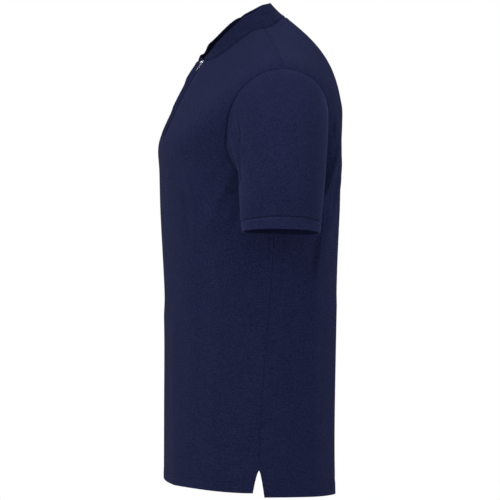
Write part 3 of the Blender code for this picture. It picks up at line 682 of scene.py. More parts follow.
def armhole_turns(count, crowd=1.35):
    """Angles round half the armhole, from the underarm to the shoulder tip, closer together towards the tip."""
    return np.pi * (1 - np.linspace(1, 0, count) ** crowd)


def armhole_station(turn):
    """The middle of the armhole less half its height times the cosine of the turn."""
    return (UNDERARM + SHOULDER_TIP) / 2 - (SHOULDER_TIP - UNDERARM) / 2 * np.cos(turn)


def armhole_edge(side, turn):
    """Angle and station of the armhole's edge at a turn round it, 0 at the underarm, first along the front."""
    cut = armhole_cut(-np.cos(turn)) * np.where(np.sin(turn) >= 0, -ARMHOLE_FRONT, ARMHOLE_BACK)
    return side * (np.pi / 2 + cut), armhole_station(turn)


def set_back(station, armhole_depth, vent_width):
    """How far a panel's edge stands back from the side seam, as an angle, row by row."""
    seam = arc_to_angle(np.pi / 2, station, SEAM_GAP / 2)
    vent = arc_to_angle(np.pi / 2, station, vent_width * np.clip(1 - station / VENT_TOP, 0, 1.2) ** VENT_POWER)
    share = (2 * station - UNDERARM - SHOULDER_TIP) / (SHOULDER_TIP - UNDERARM)
    return np.maximum(seam, armhole_depth * armhole_cut(share) * (np.abs(share) <= 1)) + vent


def hem_row(front, height):
    """The station of a height above the hem's fold. The back hangs lower, so its rows stretch from there to HEM_TOP."""
    fold_at = 0.0 if front else -BACK_DROP
    return fold_at + height * (HEM_TOP - fold_at) / HEM_TOP


def crowd_end(share):
    """Even steps that draw together just before 1: the share less a ninth of its eighth power, over eight ninths."""
    return (share - 0.11 * share**8) / 0.89


def panel_rows(front):
    """Stations of the rows: fine at the hem's fold, even up the side, and crowded where the armhole turns."""
    hem = np.array((0, 0.12, 0.4, 0.8, 1.4, 2.2, 3.4, 5, 7, 9, 11, 12.5, 13.6, 14.6, 15.6, 16.6, 17.6, 18.8, 20.5, 23))
    vent = np.linspace(HEM_TOP, VENT_ROWS_TOP, 14)[1:]
    side = np.linspace(VENT_ROWS_TOP, UNDERARM, 104)[1:-1]
    armhole = armhole_station(armhole_turns(64))
    shoulder = SHOULDER_TIP + 1.5 + (NECK - SHOULDER_TIP - 1.5) * crowd_end(np.linspace(0, 1, 52))
    return np.concatenate([hem_row(front, hem), vent, side, armhole, shoulder])


def half_columns(count, full, edge, give=2.2):
    """Angles from 0 to each row's edge. Where that is cut back, a column gives way by a power of its share."""
    share = crowd_end(np.linspace(0, 1, count))
    return full * share - (full - edge[:, None]) * share**give


# %% [markdown]
# ## Seams, folded edges and rows of stitches
# A seam is a valley with the turned-in cloth puffing up beside it, a folded edge is round, and a row of stitches
# pulls the cloth down in a fine line. All three only depend on the distance to a line on the cloth, so the lines are
# collected first, as points a millimetre or so apart.

# %% Lines on the body
ROUND = np.linspace(0, 2 * np.pi, 900)
SIDE = np.linspace(VENT_TOP + 2, UNDERARM, 420)
SHOULDER = np.linspace(SHOULDER_TIP, NECK, 190)
seam_lines = np.concatenate(
    [plain_body(side * np.pi / 2, run) for side in (-1, 1) for run in (SIDE, SHOULDER)]
    + [plain_body(*armhole_edge(side, ROUND)) for side in (-1, 1)]
    + [plain_body(ROUND, NECK)]
)
ZIP_SLOT, ZIP_FOOT = 4.0, 1.5
HEM_ROWS = (14.8, 18.0)  # twin needles
VENT_STITCH, ZIP_STITCH, FOOT_STITCH = 5.0, 5.5, SHOULDER_TIP - 3  # the last is a station, below the zip
TURNED_UP, TURNED_FADE = 17.5, 3.0  # height of the turned-up hem, and how it runs out above
TURNED_RISE, TURNED_THICK = 0.3, 0.8
STITCH_DENT, DENT_HALF_WIDTH, STITCH_DIP, DIP_HALF_WIDTH = 0.45, 0.9, 0.15, 3.0
FOLD_EDGE, BAND_EDGE = 0.9, 1.0  # how far inside a folded edge its rounding starts
ROW_START = 1.5  # how far from an edge a row of stitches starts or stops
CLOTH_DRAWN_IN, RIB_DRAWN_IN = 0.45, 0.46  # share of the thickness that each face gives up at a rounded edge


def vent_edge(side, front, run, inside=0.0):
    """Points up one edge of a vent, or a row this far inside the edge."""
    width = (VENT_FRONT if front else VENT_BACK) + 0.001  # a hair inside the edge itself
    back = set_back(run, 0.0, width) + arc_to_angle(np.pi / 2, run, inside)
    return side * (np.pi / 2 - back if front else np.pi / 2 + back), run


SLIT = np.linspace(SHOULDER_TIP + ZIP_FOOT, NECK, 170)
VENT = np.linspace(-BACK_DROP, VENT_TOP, 60)


def folded_edges(front):
    """Every free folded edge of one panel: its hem, its vents and, on the front, the two lips of the zip."""
    half = np.linspace(-np.pi / 2, np.pi / 2, 620) + (0 if front else np.pi)
    lines = [plain_body(half, hem_row(front, 0))]
    lines += [plain_body(*vent_edge(side, front, VENT)) for side in (-1, 1)]
    if front:
        lines += [plain_body(side * centre_angle(SLIT, ZIP_SLOT), SLIT) for side in (-1, 1)]
    return np.concatenate(lines)


def stitch_rows(front):
    """The rows of topstitching on one panel, each as angles and stations."""
    rows = []
    for height in HEM_ROWS:
        station = hem_row(front, height)
        edges = [vent_edge(side, front, np.array(station), ROW_START)[0] for side in (-1, 1)]
        ends = (edges[0], edges[1]) if front else (edges[1], 2 * np.pi + edges[0])
        angle = np.linspace(*ends, 500)
        rows.append((angle, np.full(500, station)))
    for side in (-1, 1):
        run = np.linspace(hem_row(front, 0) + ROW_START, VENT_TOP + ROW_START, 50)
        rows.append(vent_edge(side, front, run, VENT_STITCH))
    if front:
        slit = np.linspace(FOOT_STITCH, NECK - 0.8, 160)
        rows += [(side * centre_angle(slit, ZIP_SLOT + ZIP_STITCH), slit) for side in (-1, 1)]
        foot = centre_angle(np.array(FOOT_STITCH), ZIP_SLOT + ZIP_STITCH)
        rows.append((np.linspace(-foot, foot, 20), np.full(20, FOOT_STITCH)))
    return rows


def panel_relief(angle, station, front):
    """Folds, seams and stitch rows together, then how far folded edges have drawn in, and where the hem is double."""
    place = plain_body(angle, station)
    sewn = distance_to(place, np.concatenate([plain_body(*row) for row in stitch_rows(front)]))
    turned_up = 1 - blend((station - hem_row(front, 0) - TURNED_UP) / TURNED_FADE)
    relief = body_relief(angle, station) + seam_shape(distance_to(place, seam_lines))
    dent = STITCH_DENT * np.exp(-((sewn / DENT_HALF_WIDTH) ** 2))
    relief += TURNED_RISE * turned_up - dent - STITCH_DIP * np.exp(-((sewn / DIP_HALF_WIDTH) ** 2))
    return relief, rounded(distance_to(place, folded_edges(front)), FOLD_EDGE), turned_up


def panel_wall(name, angle, stations, front, **place):
    """One panel: the outer grid stands at its relief, and the inner one lies a thickness behind it."""
    station = np.repeat(stations[:, None], angle.shape[1], 1)
    relief, roundness, turned_up = panel_relief(angle, station, front)
    surface, out = plain_body(angle, station), normals(plain_body, angle, station)
    thick = CLOTH + TURNED_THICK * turned_up
    outer = surface + out * (relief - roundness * thick * CLOTH_DRAWN_IN)[..., None]
    inner = surface + out * (relief - thick + roundness * thick * CLOTH_DRAWN_IN)[..., None]
    return make_wall(name, outer, inner, knit, slot="knit", **place)


# %% [markdown]
# ## The front
# One piece of knit from side seam to side seam, slit down the middle from the collar for the zip. Cutting a slit
# into a mesh with a Boolean leaves long thin faces, so the grid leaves out its middle column instead: below the slit
# the two columns beside it share their points, and above it they part and become the zip's lips.

# %% Front panel
LIPS = np.array((ZIP_SLOT, 4.25, 4.7, 5.4, 6.4, 7.6, 8.6, 9.5, 10.4, 11.6, 13.2, 15.0))
stations = panel_rows(True)
lips = np.repeat(LIPS[None], len(stations), 0)
below = stations <= SHOULDER_TIP
lips[below] = LIPS[-1] * ((LIPS - ZIP_SLOT) / (LIPS[-1] - ZIP_SLOT))
lips = centre_angle(stations[:, None], lips)
edge = np.pi / 2 - set_back(stations, ARMHOLE_FRONT, VENT_FRONT)
rest = lips[:, -1:] + half_columns(68, np.pi / 2 - lips[:, -1:], edge - lips[:, -1])
halves = np.concatenate([lips, rest[:, 1:]], 1)
angles = np.concatenate([-halves[:, ::-1], halves], 1)
index = np.arange(angles.size).reshape(angles.shape)
middle = angles.shape[1] // 2
index[below, middle] = index[below, middle - 1]
keep = np.ones((angles.shape[0] - 1, angles.shape[1] - 1), bool)
keep[:, middle - 1] = False
front_cloth = panel_wall("front_cloth", angles, stations, True, index=index, keep=keep, node="front")

# %% [markdown]
# ## The back
# The same walls from side seam to side seam, a little longer than the front, as the vents show.

# %% Back panel
stations = panel_rows(False)
edge = np.pi / 2 - set_back(stations, ARMHOLE_BACK, VENT_BACK)
halves = half_columns(96, np.pi / 2, edge)
angles = np.pi + np.concatenate([-halves[:, ::-1], halves[:, 1:]], 1)
back_cloth = panel_wall("back_cloth", angles, stations, False, node="back")

# %% [markdown]
# ## The sleeves
# A set-in sleeve starts square to the armhole and turns down along the arm. At each angle round it one cubic curve
# runs from the armhole's edge to the cuff, with its two ends' directions from a table. The short creases at its
# front fan out from the underarm, where the cloth is pushed together.

# %% Sleeve surface and creases
SLEEVE_FOLDS = (
    # side, angle, share, angle, share, half width, height, bow
    (1, 62, 0.05, 100, 0.55, 9, -3.5, 0),
    (1, 95, 0.02, 118, 0.42, 9, 2.5, 0),
    (1, 255, 0.10, 275, 0.70, 12, -3.0, 0),
    (-1, 66, 0.05, 98, 0.50, 9, -3.5, 0),
    (-1, 100, 0.05, 125, 0.50, 10, 2.5, 0),
    (-1, 260, 0.12, 280, 0.65, 12, -3.0, 0),
    (1, 110, 0.04, 89, 0.66, 2.8, -3.8, 4),
    (1, 118, 0.06, 96, 0.62, 2.8, 3.2, 4),
    (1, 134, 0.16, 101, 0.56, 3.2, -3.2, 3),
    (1, 104, 0.10, 82, 0.66, 2.8, 2.2, 3),
    (1, 84, 0.08, 74, 0.60, 3.8, -1.8, 3),
    (1, 48, 0.12, 60, 0.70, 4.6, 1.1, -3),
    (1, 300, 0.06, 312, 0.75, 4.2, 1.8, 4),
    (1, 285, 0.10, 300, 0.85, 5.0, -1.7, -4),
    (1, 248, 0.15, 262, 0.90, 6.0, 1.4, 5),
    (1, 150, 0.25, 138, 0.92, 9.0, -0.8, 5),
    (1, 196, 0.30, 190, 0.95, 9.0, 0.7, -5),
    (-1, 112, 0.04, 90, 0.60, 3.0, -3.2, -4),
    (-1, 121, 0.06, 99, 0.56, 3.2, 2.8, -3),
    (-1, 136, 0.18, 106, 0.52, 3.4, -2.4, -3),
    (-1, 86, 0.10, 76, 0.62, 3.8, -1.6, -3),
    (-1, 52, 0.14, 64, 0.66, 5.0, 1.1, 3),
    (-1, 298, 0.08, 314, 0.70, 4.6, 1.7, -4),
    (-1, 282, 0.12, 296, 0.88, 5.4, -1.6, 4),
    (-1, 158, 0.30, 144, 0.92, 9.0, -0.8, -5),
    (-1, 210, 0.30, 206, 0.90, 9.0, 0.7, 5),
)
SLEEVE_ENDS = 0.12  # share of the sleeve over which its folds fade out at each end


def armhole_start(side, turn):
    """Where the sleeve begins: the armhole's edge on the folded cloth, moved one seam gap into the hole."""
    along = body(*armhole_edge(side, turn + 0.02)) - body(*armhole_edge(side, turn - 0.02))
    inwards = unit(np.cross(along, normals(plain_body, *armhole_edge(side, turn))) * side)
    return body(*armhole_edge(side, turn)) + inwards * SEAM_GAP


def cuff_frame(side):
    """Centre of the cuff's upper ring and its directions: outwards, backwards and down the arm."""
    out = np.array((side * np.cos(CUFF_TILT_OUT), 0.0, np.sin(CUFF_TILT_OUT)))
    back = np.array((0.0, np.cos(CUFF_TILT_BACK), -np.sin(CUFF_TILT_BACK)))
    return np.array(CUFF_CENTRE) * (side, 1, 1), out, back, unit(np.cross(out, back) * -side)


def cuff_ring(side, turn, distance):
    """An ellipse round the arm that narrows a little down its height.

    It is bent: by the square of the sine its front and back hang lower at the seam, and by the square of the cosine
    its part under the arm is pushed up.
    """
    centre, out, back, down = cuff_frame(side)
    share = np.clip(distance / CUFF_HEIGHT, 0, 1)
    size = 1 - (1 - CUFF_TAPER) * share
    ring = -np.cos(turn) * CUFF_HALF_WIDTH * size, -np.sin(turn) * CUFF_HALF_DEPTH * size
    drop = np.sin(turn) ** 2 * (CUFF_SIDES_DROP[0] + (CUFF_SIDES_DROP[1] - CUFF_SIDES_DROP[0]) * share)
    drop = distance + drop - CUFF_UNDER_RISE * np.clip(np.cos(turn), 0, 1) ** 2
    return centre + ring[0][..., None] * out + ring[1][..., None] * back + drop[..., None] * down


def sleeve(side):
    """The sleeve without folds: a cubic curve at each angle, from the armhole's edge to the cuff's ring.

    The direction it leaves in is mixed from the four rows of SLEEVE_LEAVES by the squares of sine and cosine.
    """

    def surface(turn, share):
        turn, share = np.broadcast_arrays(np.asarray(turn, float), np.asarray(share, float))
        cos, sin = np.cos(turn), np.sin(turn)
        weights = np.clip(np.stack([cos, sin, -cos, -sin], -1), 0, 1) ** 2
        leave = weights @ SLEEVE_LEAVES
        start, end = armhole_start(side, turn), cuff_ring(side, turn, np.full(turn.shape, -SEAM_GAP))
        arrive = cuff_frame(side)[3] * leave[..., 3:]
        s = share[..., None]
        curve = (2 * s**3 - 3 * s**2 + 1) * start + (s**3 - 2 * s**2 + s) * leave[..., :3] * (side, 1, 1)
        return curve + (3 * s**2 - 2 * s**3) * end + (s**3 - s**2) * arrive

    return surface


def sleeve_relief(side, turn, share):
    """Its folds, which fade out at both ends, and a gentle fullness: a half sine wave along it."""
    relief = np.zeros(turn.shape)
    for fold_side, turn_0, share_0, turn_1, share_1, half_width, height, bow in SLEEVE_FOLDS:
        if fold_side == side:
            start = np.radians(turn_0) * SLEEVE_RADIUS, share_0 * SLEEVE_LENGTH
            end = np.radians(turn_1) * SLEEVE_RADIUS, share_1 * SLEEVE_LENGTH
            relief += fold(turn * SLEEVE_RADIUS, share * SLEEVE_LENGTH, start, end, half_width, height, bow)
    ends = blend(share / SLEEVE_ENDS) * blend((1 - share) / SLEEVE_ENDS)
    return relief * ends + SLEEVE_FULLNESS * np.sin(np.pi * share)


# %% Both sleeves
front_turns = armhole_turns(104)
turns = np.concatenate([front_turns, 2 * np.pi - front_turns[-2::-1]])
turn_grid, share_grid = np.meshgrid(turns, spread(0, 1, 84, 0.35, 3.0))
closed = closed_index(turn_grid.shape)
sleeves = {}
for side_name, side in SIDES:
    surface = sleeve(side)
    plain, out = surface(turn_grid, share_grid), normals(surface, turn_grid, share_grid, hand=-side)
    seams = np.concatenate([surface(ROUND, np.zeros(900)), surface(ROUND, np.ones(900))])
    inner_seam = surface(np.zeros(300), np.linspace(0, 1, 300))
    relief = sleeve_relief(side, turn_grid, share_grid) + seam_shape(distance_to(plain, seams))
    relief += seam_shape(distance_to(plain, inner_seam), 0.5, 0.25)
    outer = plain + out * relief[..., None]
    name = "sleeve_" + side_name
    sleeves[side_name] = make_wall(
        name + "_cloth", outer, outer - out * CLOTH, sleeve_knit_painted_rim, index=closed, hand=-side, node=name, slot="knit"
    )

# %% [markdown]
# ## The ribbed bands
# The cuffs and the collar are knitted as ribs, folded double and sewn on by their raw edge, so they are thicker and
# their free edge is a soft fold. The wall's two faces close in on each other there like a quarter of a circle.

# %% Cuffs
CUFF_WAVE, CUFF_EDGE_WAVE, WAVE_START = 0.5, 0.3, 6  # three waves round, seven at the free edge, from below the seam
BAND_SEAM, BAND_PUFF = 0.8, 0.3
downs = np.concatenate([[0, 0.3, 0.8, 1.5, 2.5], np.linspace(3.6, 16.4, 13), [17, 17.4, 17.7, 17.9, 18.0]])
turn_grid, down_grid = np.meshgrid(np.linspace(0, 2 * np.pi, 281), downs)
closed = closed_index(turn_grid.shape)
cuffs = {}
for side_name, side in SIDES:
    ring = partial(cuff_ring, side)
    plain, out = ring(turn_grid, down_grid), normals(ring, turn_grid, down_grid, hand=-side)
    wave = CUFF_EDGE_WAVE * np.sin(7 * turn_grid + 2 * side) * down_grid / CUFF_HEIGHT
    wave = CUFF_WAVE * np.sin(3 * turn_grid + side) + wave
    edge = rounded(CUFF_HEIGHT - down_grid, BAND_EDGE) * RIB * RIB_DRAWN_IN
    relief = seam_shape(down_grid, BAND_SEAM, BAND_PUFF) + wave * blend(down_grid / WAVE_START) - edge
    outer = plain + out * relief[..., None]
    inner = outer - out * (RIB - 2 * edge)[..., None]
    name = "cuff_" + side_name
    cuffs[side_name] = make_wall(name + "_rib", outer, inner, cuff_rib_painted_rim, closed, hand=-side, node=name, slot="rib")

# %% [markdown]
# ## The collar
# A band that stands on the neck seam. Its height and its lean change from the front ends to the back, by a spline
# through the rows of COLLAR_PLAN, and its right half stands a little higher, as the photograph shows.

# %% Collar surface
COLLAR_SEAM, COLLAR_HOLLOW = 0.9, 1.3


def collar(angle, share):
    """The neck seam, moved along a leaning direction by the height there times the share of the height."""
    angle, share = np.broadcast_arrays(np.asarray(angle, float), np.asarray(share, float))
    round_front = np.degrees(np.minimum(angle, 2 * np.pi - angle))
    plan = spline(COLLAR_PLAN[:, 0], COLLAR_PLAN[:, 1:], round_front)
    left, right, inwards, forwards, upwards = np.moveaxis(plan, -1, 0)
    on_left = angle < np.pi
    lean = unit(np.stack([np.where(on_left, -inwards, inwards), -forwards, upwards], -1))
    seam, below = body(angle, np.full(angle.shape, NECK)), body(angle, np.full(angle.shape, NECK - 2.0))
    height = np.where(on_left, left, right) * share
    return seam + unit(seam - below) * SEAM_GAP + lean * height[..., None]


collar_end = centre_angle(np.array(NECK), ZIP_SLOT)
collar_angles = spread(collar_end, 2 * np.pi - collar_end, 301, 0.25, 4.0)
shares = np.concatenate([[0, 0.012, 0.03, 0.06, 0.1], np.linspace(0.15, 0.93, 16), [0.955, 0.975, 0.988, 0.996, 1.0]])
angle_grid, share_grid = np.meshgrid(collar_angles, shares)
plain, out = collar(angle_grid, share_grid), normals(collar, angle_grid, share_grid)
up = np.linalg.norm(plain - plain[:1], axis=-1)
ends = distance_to(plain, np.concatenate([plain[:, 0], plain[:, -1], plain[-1]]))
edge = rounded(ends, BAND_EDGE) * RIB * RIB_DRAWN_IN
slack = 0.45 * np.sin(2 * angle_grid + 0.6) + 0.3 * np.sin(5 * angle_grid + 1.0)  # its free edge isn't quite even
hollow = COLLAR_HOLLOW * np.sin(np.pi * share_grid**0.8) * np.sin(angle_grid / 2) ** 0.5
relief = seam_shape(up, COLLAR_SEAM, BAND_PUFF) + slack * share_grid**2 * np.sin(angle_grid / 2) ** 2 - hollow - edge
outer = plain + out * relief[..., None]
inner = outer - out * (RIB - 2 * edge)[..., None]
collar_rib = make_wall("collar_rib", outer, inner, ribbed, node="collar", slot="rib")

# %% [markdown]
# ## The zip
# A short nylon zip: two woven tapes behind the lips, a row of small hooked coils on each, a bright slider at the top
# and a dark pull tab that hangs from the slider's bridge. One coil is a small bent bar of a few dozen faces. It is
# worked out once, and all of them are placed at the same time by adding its points to each place along the tape.

# %% Zip tapes
TAPE_DEPTH, TAPE_WALL = 2.0, 1.0
TAPE_COLUMNS = np.array((0.6, 0.8, 1.2, 2.0, 3.0, 4.0, 6.5, 9.0, 12.0, 15.0))  # millimetres from the centre line
run = np.linspace(SHOULDER_TIP + 3.0, NECK - 1.0, 120)
run_grid = np.repeat(run[:, None], len(TAPE_COLUMNS), 1)
tapes = {}
for side_name, side in SIDES:
    angle_grid = side * centre_angle(run[:, None], TAPE_COLUMNS)
    outer, inner = body(angle_grid, run_grid, TAPE_DEPTH), body(angle_grid, run_grid, TAPE_DEPTH + TAPE_WALL)
    name = "zip_tape_" + side_name
    tapes[side_name] = make_wall(name + "_weave", outer, inner, tape, hand=side, node=name, slot="tape")

# %% Many small shapes at once


def many(shape, faces, centres, sides, alongs, outs):
    """One small shape at many places: its three coordinates times the three directions there, plus the centre."""
    frames = np.stack([sides, alongs, outs], 1)
    points = np.einsum("pk,nkd->npd", shape, frames) + centres[:, None]
    steps = np.arange(len(centres))[:, None, None] * len(shape)
    return points.reshape(-1, 3), (faces[None] + steps).reshape(-1, 4)


def even_turns(corners):
    """Angles of equal steps once round."""
    return np.arange(corners) * 2 * np.pi / corners


def ring_faces(rings, corners, closed=False):
    """Faces between rings of equal corners. The first and last rings are small enough to pass for points."""
    index = np.arange(rings * corners).reshape(rings, corners)
    index = np.concatenate([index, index[:, :1]], 1)
    return grid_faces(np.concatenate([index, index[:1]]) if closed else index)


def bar(rings, corners=6):
    """A bar through rings: each row is a centre along, a centre out and two radii, round by sine and cosine."""
    turn = even_turns(corners)
    rows = np.array(rings, float)
    aside = rows[:, 2:3] * np.cos(turn)
    along = np.repeat(rows[:, 0:1], corners, 1)
    out = rows[:, 1:2] + rows[:, 3:4] * np.sin(turn)
    return np.stack([aside, along, out], -1).reshape(-1, 3), ring_faces(len(rows), corners)[:, ::-1]


def oval_tube(path, across, outs, half_width, half_thick, corners, end_size=1.0, closed=False):
    """An oval carried along a path: cosine times the half width across, and sine times the half thickness out."""
    turn = even_turns(corners)
    size = np.ones(len(path))
    size[[0, -1]] = end_size
    ring = np.cos(turn)[:, None] * across[:, None] * half_width + np.sin(turn)[:, None] * outs[:, None] * half_thick
    return (path[:, None] + ring * size[:, None, None]).reshape(-1, 3), ring_faces(len(path), corners, closed)


# %% Zip teeth
PITCH, COIL_ASIDE, COIL_DEPTH = 1.35, 1.05, 1.15
COILS_FROM, COILS_TO = SHOULDER_TIP + 4.5, NECK - 2.5
coil_shape, coil_faces = bar(
    (
        (-1.25, -0.25, 0.02, 0.02),
        (-1.2, -0.25, 0.36, 0.40),
        (-0.4, 0.05, 0.36, 0.44),
        (0.5, 0.05, 0.36, 0.44),
        (0.95, 0.0, 0.50, 0.46),
        (1.25, -0.05, 0.46, 0.38),
        (1.38, -0.05, 0.02, 0.02),
    ),
    8,
)
for side_name, side in SIDES:
    shift = 0.0 if side > 0 else 0.5  # the two rows mesh
    run = np.arange(COILS_FROM + shift * PITCH, COILS_TO, PITCH)
    angle = side * centre_angle(run, COIL_ASIDE)
    centres = body(angle, run, COIL_DEPTH)
    outs = normals(plain_body, angle, run)
    alongs = unit(body(angle, run + 0.5, COIL_DEPTH) - body(angle, run - 0.5, COIL_DEPTH))
    towards = np.cross(alongs, outs) * -side
    points, faces = many(coil_shape, coil_faces, centres, alongs * side, towards, outs)
    name = "zip_teeth_" + side_name
    make_piece(name + "_coils", points, faces, coil, node=name, slot="teeth")

# %% [markdown]
# ## The slider and its pull
# The slider is two plates joined by a post, with a bridge over the front plate. The pull hangs on the bridge by its
# eye and can swing up, so it rides on a body of its own. Both are small castings with soft edges. A plate is an
# outline that is drawn in and lifted along a quarter circle, and a bridge or an eye is a bar bent along a path.

# %% Directions at the slider
SLIDER_TOP, SLIDER_LENGTH = NECK + 6.0, 11.0
zip_top = body(np.array(0.0), np.array(SLIDER_TOP))
zip_down = unit(body(np.array(0.0), np.array(SLIDER_TOP - SLIDER_LENGTH)) - zip_top)
zip_aside = np.array((1.0, 0.0, 0.0))
zip_out = np.cross(zip_aside, -zip_down)


def at_zip(aside, down, height):
    """A point in the zip's own directions, from the slider's top: sideways, down the zip and out of the cloth."""
    aside, down, height = np.broadcast_arrays(aside, down, height)
    return zip_top + aside[..., None] * zip_aside + down[..., None] * zip_down + height[..., None] * zip_out


def plate(outline, low, high, soft, crown=0.0):
    """A plate between two heights: the outline drawn towards its middle by a quarter circle at each edge.

    The rings go from the middle of the back, out over the soft edges, to the middle of the front, which stands up
    by crown times one less the square of how far out the ring is.
    """
    middle = outline.mean(0)
    size = np.abs(outline - middle).max()
    quarter = np.linspace(0, np.pi / 2, 5)
    rings = [(0.02, low), (0.45, low), (0.8, low)]
    rings += [(1 - soft / size * (1 - np.sin(q)), low + soft * (1 - np.cos(q))) for q in quarter]
    rings += [(1 - soft / size * (1 - np.cos(q)), high - soft * (1 - np.sin(q))) for q in quarter]
    rings += [(0.8, high + crown * 0.36), (0.45, high + crown * 0.8), (0.02, high + crown)]
    size_at, height_at = np.array(rings).T
    flat = middle + (outline - middle) * size_at[:, None, None]
    points = at_zip(flat[..., 0], flat[..., 1], height_at[:, None])
    return points.reshape(-1, 3), ring_faces(len(rings), len(outline))


def rounded_box(half_width, half_length, centre, square=0.55, corners=48):
    """An outline between an ellipse and a box: sine and cosine, each to a power below one."""
    turn = even_turns(corners)
    aside = half_width * np.sign(np.cos(turn)) * np.abs(np.cos(turn)) ** square
    down = half_length * np.sign(np.sin(turn)) * np.abs(np.sin(turn)) ** square
    return np.stack([aside, centre + down], -1)


def bent_bar(path, sideways, half_side, half_thick, closed=False):
    """A bar along a path: an oval at each point, in the plane of sideways and of the path's own normal."""
    step = np.roll(path, -1, 0) - np.roll(path, 1, 0) if closed else np.gradient(path, axis=0)
    inwards = unit(np.cross(unit(step), sideways))
    sideways = np.repeat(sideways[None], len(path), 0)
    return oval_tube(path, sideways, inwards, half_side, half_thick, 10, 1.0 if closed else 0.05, closed)


def joined(*parts):
    """Several lots of points and faces as one, each face's numbers moved past the points before it."""
    steps = np.cumsum([0] + [len(points) for points, _ in parts[:-1]])
    return np.concatenate([p for p, _ in parts]), np.concatenate([f + s for (_, f), s in zip(parts, steps)])


# %% Slider
shield = rounded_box(3.5, 5.5, 5.5)
shield[:, 0] *= 1 - 0.2 * shield[:, 1] / SLIDER_LENGTH
arch_turn = np.linspace(-np.pi / 2 * 1.04, np.pi / 2 * 1.04, 33)  # its feet dip into the front plate
arch_down = 5.0 + 2.75 * np.sign(np.sin(arch_turn)) * np.abs(np.sin(arch_turn)) ** 0.55
arch_height = 1.1 + 2.05 * np.sign(np.cos(arch_turn)) * np.abs(np.cos(arch_turn)) ** 0.5
slider_parts = (
    plate(shield, 0.1, 1.3, 0.45, 0.15),  # front plate
    plate(shield, -4.6, -3.4, 0.45),  # back plate
    plate(rounded_box(2.9, 1.15, 1.45), -3.6, 0.4, 0.3),  # post
    bent_bar(at_zip(0.0, arch_down, arch_height), zip_aside, 0.7, 0.45),  # bridge
)
make_piece("zip_slider_casting", *joined(*slider_parts), bright, node="zip_slider", slot="slider")

# %% Pull tab
TAB_CORNERS, RIM_FIRST, RIM_LAST = 56, 3, 13  # the tab's rim is bright between these rings of faces
eye_line = rounded_box(1.75, 2.55, 7.45, 0.7, TAB_CORNERS)
eye = bent_bar(at_zip(eye_line[:, 0], eye_line[:, 1], 2.0), unit(zip_out), 0.4, 0.55, closed=True)
tab_outline = rounded_box(2.3, 5.8, 15.0, 0.45, TAB_CORNERS)
tab_outline[:, 0] *= 0.84 + 0.16 * blend((tab_outline[:, 1] - 9.2) / 8.0)
tab = plate(tab_outline, 1.6, 2.4, 0.3, -0.12)
points, faces = joined(tab, eye)
ring_of = np.arange(len(faces)) // TAB_CORNERS
rim = (ring_of >= RIM_FIRST) & (ring_of <= RIM_LAST) & (np.arange(len(faces)) < len(tab[1]))
tab_looks = (dark_metal, bright)
make_piece("zip_pull_tab", points, faces, tab_looks, kind=rim, node="zip_pull", slot="pull", body_name="pull_tab")

# %% [markdown]
# ## Stitching
# The hem is turned up and held by two rows of twin-needle stitches, and one row runs beside each vent and beside the
# zip. Thread could be a bump in the cloth's material, but it catches the light as small separate strokes, so every
# stitch is a short bar whose ends dive into the cloth.

# %% Stitches along a row
STITCH_PITCH = 3.0
stitch_shape, stitch_faces = bar(
    (
        (-1.28, -0.55, 0.03, 0.03),
        (-1.18, -0.28, 0.20, 0.18),
        (-0.60, 0.10, 0.25, 0.21),
        (0.00, 0.19, 0.27, 0.22),
        (0.60, 0.10, 0.25, 0.21),
        (1.18, -0.28, 0.20, 0.18),
        (1.28, -0.55, 0.03, 0.03),
    )
)


def along_path(path, outs, pitch):
    """Places every pitch millimetres along a path, with the directions across, along and out of it there."""
    length = np.concatenate([[0], np.linalg.norm(np.diff(path, axis=0), axis=1).cumsum()])
    count = max(2, int(length[-1] / pitch))
    at = (np.arange(count) + 0.5) * length[-1] / count

    def read(values, places):
        return np.stack([np.interp(places, length, values[:, k]) for k in range(3)], -1)

    along, out = unit(read(path, at + 0.5) - read(path, at - 0.5)), unit(read(outs, at))
    return read(path, at), np.cross(along, out), along, out


def sewn_rows(name, front):
    """All the topstitching of one panel, on the cloth as its folds and seams left it."""
    parts = []
    for angle, station in stitch_rows(front):
        out = normals(plain_body, angle, station)
        path = plain_body(angle, station) + out * panel_relief(angle, station, front)[0][:, None]
        parts.append(many(stitch_shape, stitch_faces, *along_path(path, out, STITCH_PITCH)))
    return make_piece(name, *joined(*parts), thread, slot="knit")


front_stitching = sewn_rows("front_stitching", True)
back_stitching = sewn_rows("back_stitching", False)

# %% Bar tacks at the top of the vents
TACK_SINK, TACK_STRETCH = 0.2, 1.5
tacks = []
for side in (-1, 1):
    run = np.linspace(VENT_TOP + 0.4, VENT_TOP + 2.8, 6)
    angle = np.full(6, side * np.pi / 2)
    out = normals(plain_body, angle, run)
    centres = plain_body(angle, run) + out * (body_relief(angle, run) - TACK_SINK)[:, None]
    along = unit(plain_body(angle + 0.01, run) - plain_body(angle - 0.01, run))
    tacks.append(many(stitch_shape, stitch_faces, centres, np.cross(along, out), along * TACK_STRETCH, out))
vent_tacks = make_piece("vent_bar_tacks", *joined(*tacks), thread, slot="knit")

# %% [markdown]
# ## Inside the seams
# Turn such a shirt inside out and every seam shows a narrow strip: the two raw edges, overlocked together. From
# outside they close the seam, and through the neck, the hem and the cuffs they are what the eye finds first. Each
# strip is a flat oval carried along its seam, just behind the cloth.

# %% Seam strips
STRIP_CORNERS, STRIP_END, STRIP_DEPTH = 12, 0.03, 1.5
SEAM_STRIP, NECK_STRIP, CUFF_STRIP = (3.6, 0.55), (3.4, 0.55), (3.2, 0.5)  # half width and half thickness
CUFF_STRIP_IN = 2.9  # inside the cuff's plain ring


